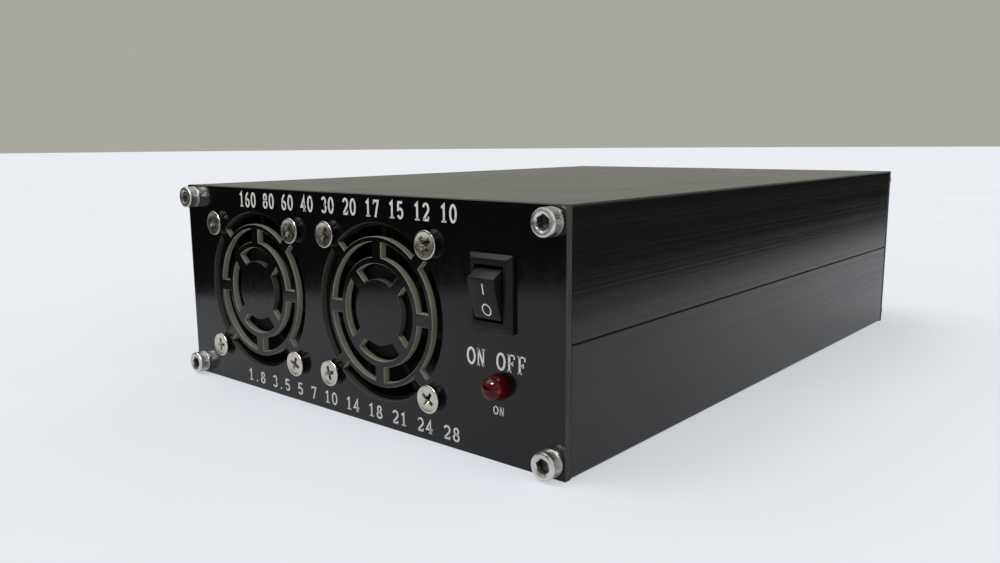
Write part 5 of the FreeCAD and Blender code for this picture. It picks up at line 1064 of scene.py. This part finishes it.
class AMPLIFIER_OT_prints(PieceOperator, bpy.types.Operator):
    """Print the generic marks of the front panel"""

    bl_idname = "amplifier.prints"
    bl_label = "Panel print"

    def execute(self, context):
        sizes = settings("print")
        lamp_x = middle("led_lens").x
        switch_x = (middle("switch_housing").x + lamp_x) / 2
        row_x = near("front_panel").x + sizes.row_left + sizes.row_width / 2
        labels = [("print_switch", "ON OFF", switch_x, *sizes.switch_label),
                  ("print_lamp", "ON", lamp_x, *sizes.lamp_label)]
        for name, text, z, height in (
                ("print_metres", METRES, sizes.upper_z, sizes.upper_height),
                ("print_megahertz", MEGAHERTZ, sizes.lower_z, sizes.lower_height)):
            labels.append((name, text, row_x, z, height, sizes.row_width / len(text)))
        for label in labels:
            dress(write(*label), "black_board", "case", material=bpy.data.materials[INK])
        return {"FINISHED"}


class AMPLIFIER_OT_sockets(PieceOperator, bpy.types.Operator):
    """Make the threaded RF sockets, the keying jack and the direct-current inlet"""

    bl_idname = "amplifier.sockets"
    bl_label = "Rear sockets"

    def execute(self, context):
        for node in ("rf_output_shell", "rf_input_shell"):
            self.rf_socket(node)
        self.keying_jack()
        soften("dc_inlet_housing", "dc_inlet_shroud", 0.2 * MM)
        soften("dc_inlet_pins", "dc_inlet_contacts", 0.3 * MM)
        return {"FINISHED"}

    def rf_socket(self, node):
        """Flange and threaded barrel with a notched rim."""
        sizes = settings("sockets")
        tail, rim = near(node).y, far(node).y
        radius, bore, core = sizes.barrel_radius, sizes.barrel_bore, sizes.core_radius
        floor = REAR_FACE + sizes.flange_thick
        neck, edge = radius * 0.925, radius * 0.025
        thread = thread_profile(floor + edge * 3, rim - edge * 2.5, radius, sizes.barrel_pitch)
        profile = [(core, tail), (radius * 0.985, tail), (radius * 0.985, REAR_FACE),
                   (neck, floor)] + thread
        profile += [(radius * 0.89, rim), (bore + edge, rim), (bore, rim - edge),
                    (bore, floor), (core, floor), (core, tail)]
        piece = add_shape(node.replace("shell", "barrel"), lathe(profile, 96))
        notch = radius * 0.09
        for bar in crossed(lambda: slab(oblong(radius * 1.15, notch), rim - notch * 2, rim + notch)):
            carve(piece, bar)
        flange = self.flange((far(node).x - near(node).x) / 2, floor)
        both = bmesh.new()
        both.from_mesh(piece.data)
        both.from_mesh(flange.data)
        both.to_mesh(piece.data)
        both.free()
        bpy.data.objects.remove(flange)
        centre_on(piece, node)
        dress(piece, slot_of_node(node), "case", (node,))

    def flange(self, half, floor):
        """Square plate with rounded edges, four fixing holes and room for the barrel."""
        sizes = settings("sockets")
        flange = add_shape("flange", slab(oblong(half, half), REAR_FACE, floor))
        below, above = REAR_FACE - CUT_MARGIN, floor + CUT_MARGIN
        hole = settings("fasteners").thread_radius * 1.17
        place = sizes.flange_holes / 2
        for x, _, z in grid((-place, place), (-place, place), below):
            carve(flange, slab(round_outline(hole, 32, x, z), below, above))
        carve(flange, slab(round_outline(sizes.barrel_radius * 0.96, 48), below, above))
        return bevel(flange, 0.35 * MM, 2)

    def keying_jack(self):
        """Turned shell of the keying jack with a rolled rim."""
        sizes = settings("sockets")
        end, rim = near("key_jack_shell").y, far("key_jack_shell").y
        wide, bore, core, tail = (sizes.jack_radius, sizes.jack_bore, sizes.jack_core,
                                  sizes.jack_tail)
        floor, edge = REAR_FACE + wide * 0.216, wide * 0.055
        profile = [(core, end), (tail, end)]
        profile += thread_profile(end + edge, REAR_FACE - edge, tail + edge * 0.1, edge * 2)
        profile += [(tail, REAR_FACE), (wide - edge, REAR_FACE), (wide, REAR_FACE + edge),
                    (wide, floor - edge), (wide - edge, floor), (bore + edge * 3.3, floor),
                    (bore + edge * 3.3, rim - edge * 1.6), (bore + edge * 2.5, rim - edge * 0.2),
                    (bore + edge * 1.6, rim), (bore, rim - edge), (bore, floor), (core, floor),
                    (core, end)]
        jack = add_shape("key_jack_sleeve", lathe(profile))
        centre_on(jack, "key_jack_shell")
        dress(jack, "nickel", "case", ("key_jack_shell",))


class AMPLIFIER_OT_stage(PieceOperator, bpy.types.Operator):
    """Set up the floor, the light and the camera"""

    bl_idname = "amplifier.stage"
    bl_label = "Stage"

    def execute(self, context):
        light = settings("light")
        self.floor(light.floor_glow)
        self.surroundings(light.sky)
        for name, (start, end) in DARK_CARDS.items():
            self.dark_card(name, start, end)
        window = self.lamp("window", "AREA", WINDOW_PLACE, (0, 0, 0), light.window)
        window.data.size = WINDOW_WIDTH
        window.visible_diffuse = False
        window.visible_camera = False
        for name, place, spread, strength in (("key lamp", KEY_PLACE, KEY_SPREAD, light.key),
                                              ("fill lamp", FILL_PLACE, FILL_SPREAD, light.fill)):
            lamp = self.lamp(name, "SUN", place, (0, 0, TOP / 2), strength)
            lamp.data.angle = math.radians(spread)
        self.camera(light.lens)
        context.scene.view_settings.view_transform = "Standard"
        return {"FINISHED"}

    def floor(self, glow):
        """A wide pale sheet that the case stands on."""
        shape = bmesh.new()
        bmesh.ops.create_circle(shape, cap_ends=True, radius=FLOOR_RADIUS, segments=96)
        floor = add_shape("floor", shape)
        finish = Finish("floor sheet", (0.80, 0.822, 0.895), 0.9, gloss=0.0)
        share = finish.between(finish.noise(9, 2.0), 0, 1)
        sheet = finish.blend(share, (0.79, 0.812, 0.885), (0.81, 0.832, 0.905))
        own_light = finish.seen_rays(0, glow)
        finish.set("Base Color", finish.blend(own_light, sheet, (0, 0, 0)))
        finish.set("Emission Color", sheet)
        finish.set("Emission Strength", own_light)
        finish.bump(finish.noise(900, 3.0), 0.02 * MM, 0.2)
        floor.data.materials.append(finish.material)

    def dark_card(self, name, start, end):
        """A dark card that stands on the floor and only shows in the gloss of the case."""
        shape = bmesh.new()
        corners = [(*start, 0), (*end, 0), (*end, CARD_HEIGHT), (*start, CARD_HEIGHT)]
        shape.faces.new([shape.verts.new(corner) for corner in corners])
        card = add_shape(name, shape)
        card.data.materials.append(Finish(name, (0.006, 0.006, 0.007), 1.0, gloss=0.0).material)
        for rays in ("camera", "diffuse", "transmission", "shadow"):
            setattr(card, "visible_" + rays, False)

    def surroundings(self, strength):
        """Even light from all round, and a pale background wherever it is seen directly."""
        world = bpy.data.worlds.new("surroundings")
        bpy.context.scene.world = world
        world.use_nodes = True
        nodes = Nodes(world.node_tree)
        back = nodes.tree.nodes["Background"]
        nodes.feed(back.inputs["Color"], (0.39, 0.39, 0.345, 1))
        nodes.feed(back.inputs["Strength"], nodes.seen_rays(strength, 1.0))

    def lamp(self, name, kind, place, target, strength):
        """A lamp at a place, turned towards a target."""
        data = bpy.data.lights.new(name, kind)
        data.energy = strength
        lamp = add_object(name, data)
        lamp.location = place
        aim = Vector(target) - Vector(place)
        lamp.rotation_euler = aim.to_track_quat("-Z", "Y").to_euler()
        return lamp

    def camera(self, lens):
        """A camera low in front of the right-hand corner."""
        data = bpy.data.cameras.new("camera")
        data.lens = lens
        data.sensor_width = 36
        data.clip_start = 0.01
        camera = add_object("camera", data)
        camera.location = CAMERA_PLACE
        yaw, pitch, roll = (math.radians(angle) for angle in CAMERA_ANGLES)
        turn = Matrix.Rotation(yaw, 3, "Z") @ Matrix.Rotation(math.pi / 2 + pitch, 3, "X")
        camera.rotation_euler = (turn @ Matrix.Rotation(roll, 3, "Z")).to_euler()
        bpy.context.scene.camera = camera


class AMPLIFIER_PT_panel(bpy.types.Panel):
    """The amplifier's settings and steps"""

    bl_label = "Amplifier"
    bl_idname = "AMPLIFIER_PT_panel"
    bl_space_type = "VIEW_3D"
    bl_region_type = "UI"
    bl_category = "Amplifier"

    def draw(self, context):
        for name, group in GROUPS.items():
            box = self.layout.box()
            for field in group.__annotations__:
                box.prop(settings(name), field)
        for step in STEPS:
            self.layout.operator(step.bl_idname)


STEPS = (AMPLIFIER_OT_finishes, AMPLIFIER_OT_front_panel, AMPLIFIER_OT_panel_screws,
         AMPLIFIER_OT_switch, AMPLIFIER_OT_lamp, AMPLIFIER_OT_prints, AMPLIFIER_OT_sockets,
         AMPLIFIER_OT_stage)
GROUPS = {"case": CaseSettings, "print": PrintSettings, "fasteners": FastenerSettings,
          "switch": SwitchSettings, "sockets": SocketSettings, "light": LightSettings}
CLASSES = (*GROUPS.values(), *STEPS, AMPLIFIER_PT_panel)


def register():
    """Register the settings, the operators and the panel."""
    for kind in CLASSES:
        bpy.utils.register_class(kind)
    for name, group in GROUPS.items():
        setattr(bpy.types.Scene, "amplifier_" + name, PointerProperty(type=group))


def unregister():
    """Take everything out again."""
    for name in GROUPS:
        delattr(bpy.types.Scene, "amplifier_" + name)
    for kind in CLASSES[::-1]:
        bpy.utils.unregister_class(kind)


def main():
    """Run every step."""
    register()
    for step in STEPS:
        family, name = step.bl_idname.split(".")
        getattr(getattr(bpy.ops, family), name)()


if __name__ == "__main__":
    main()
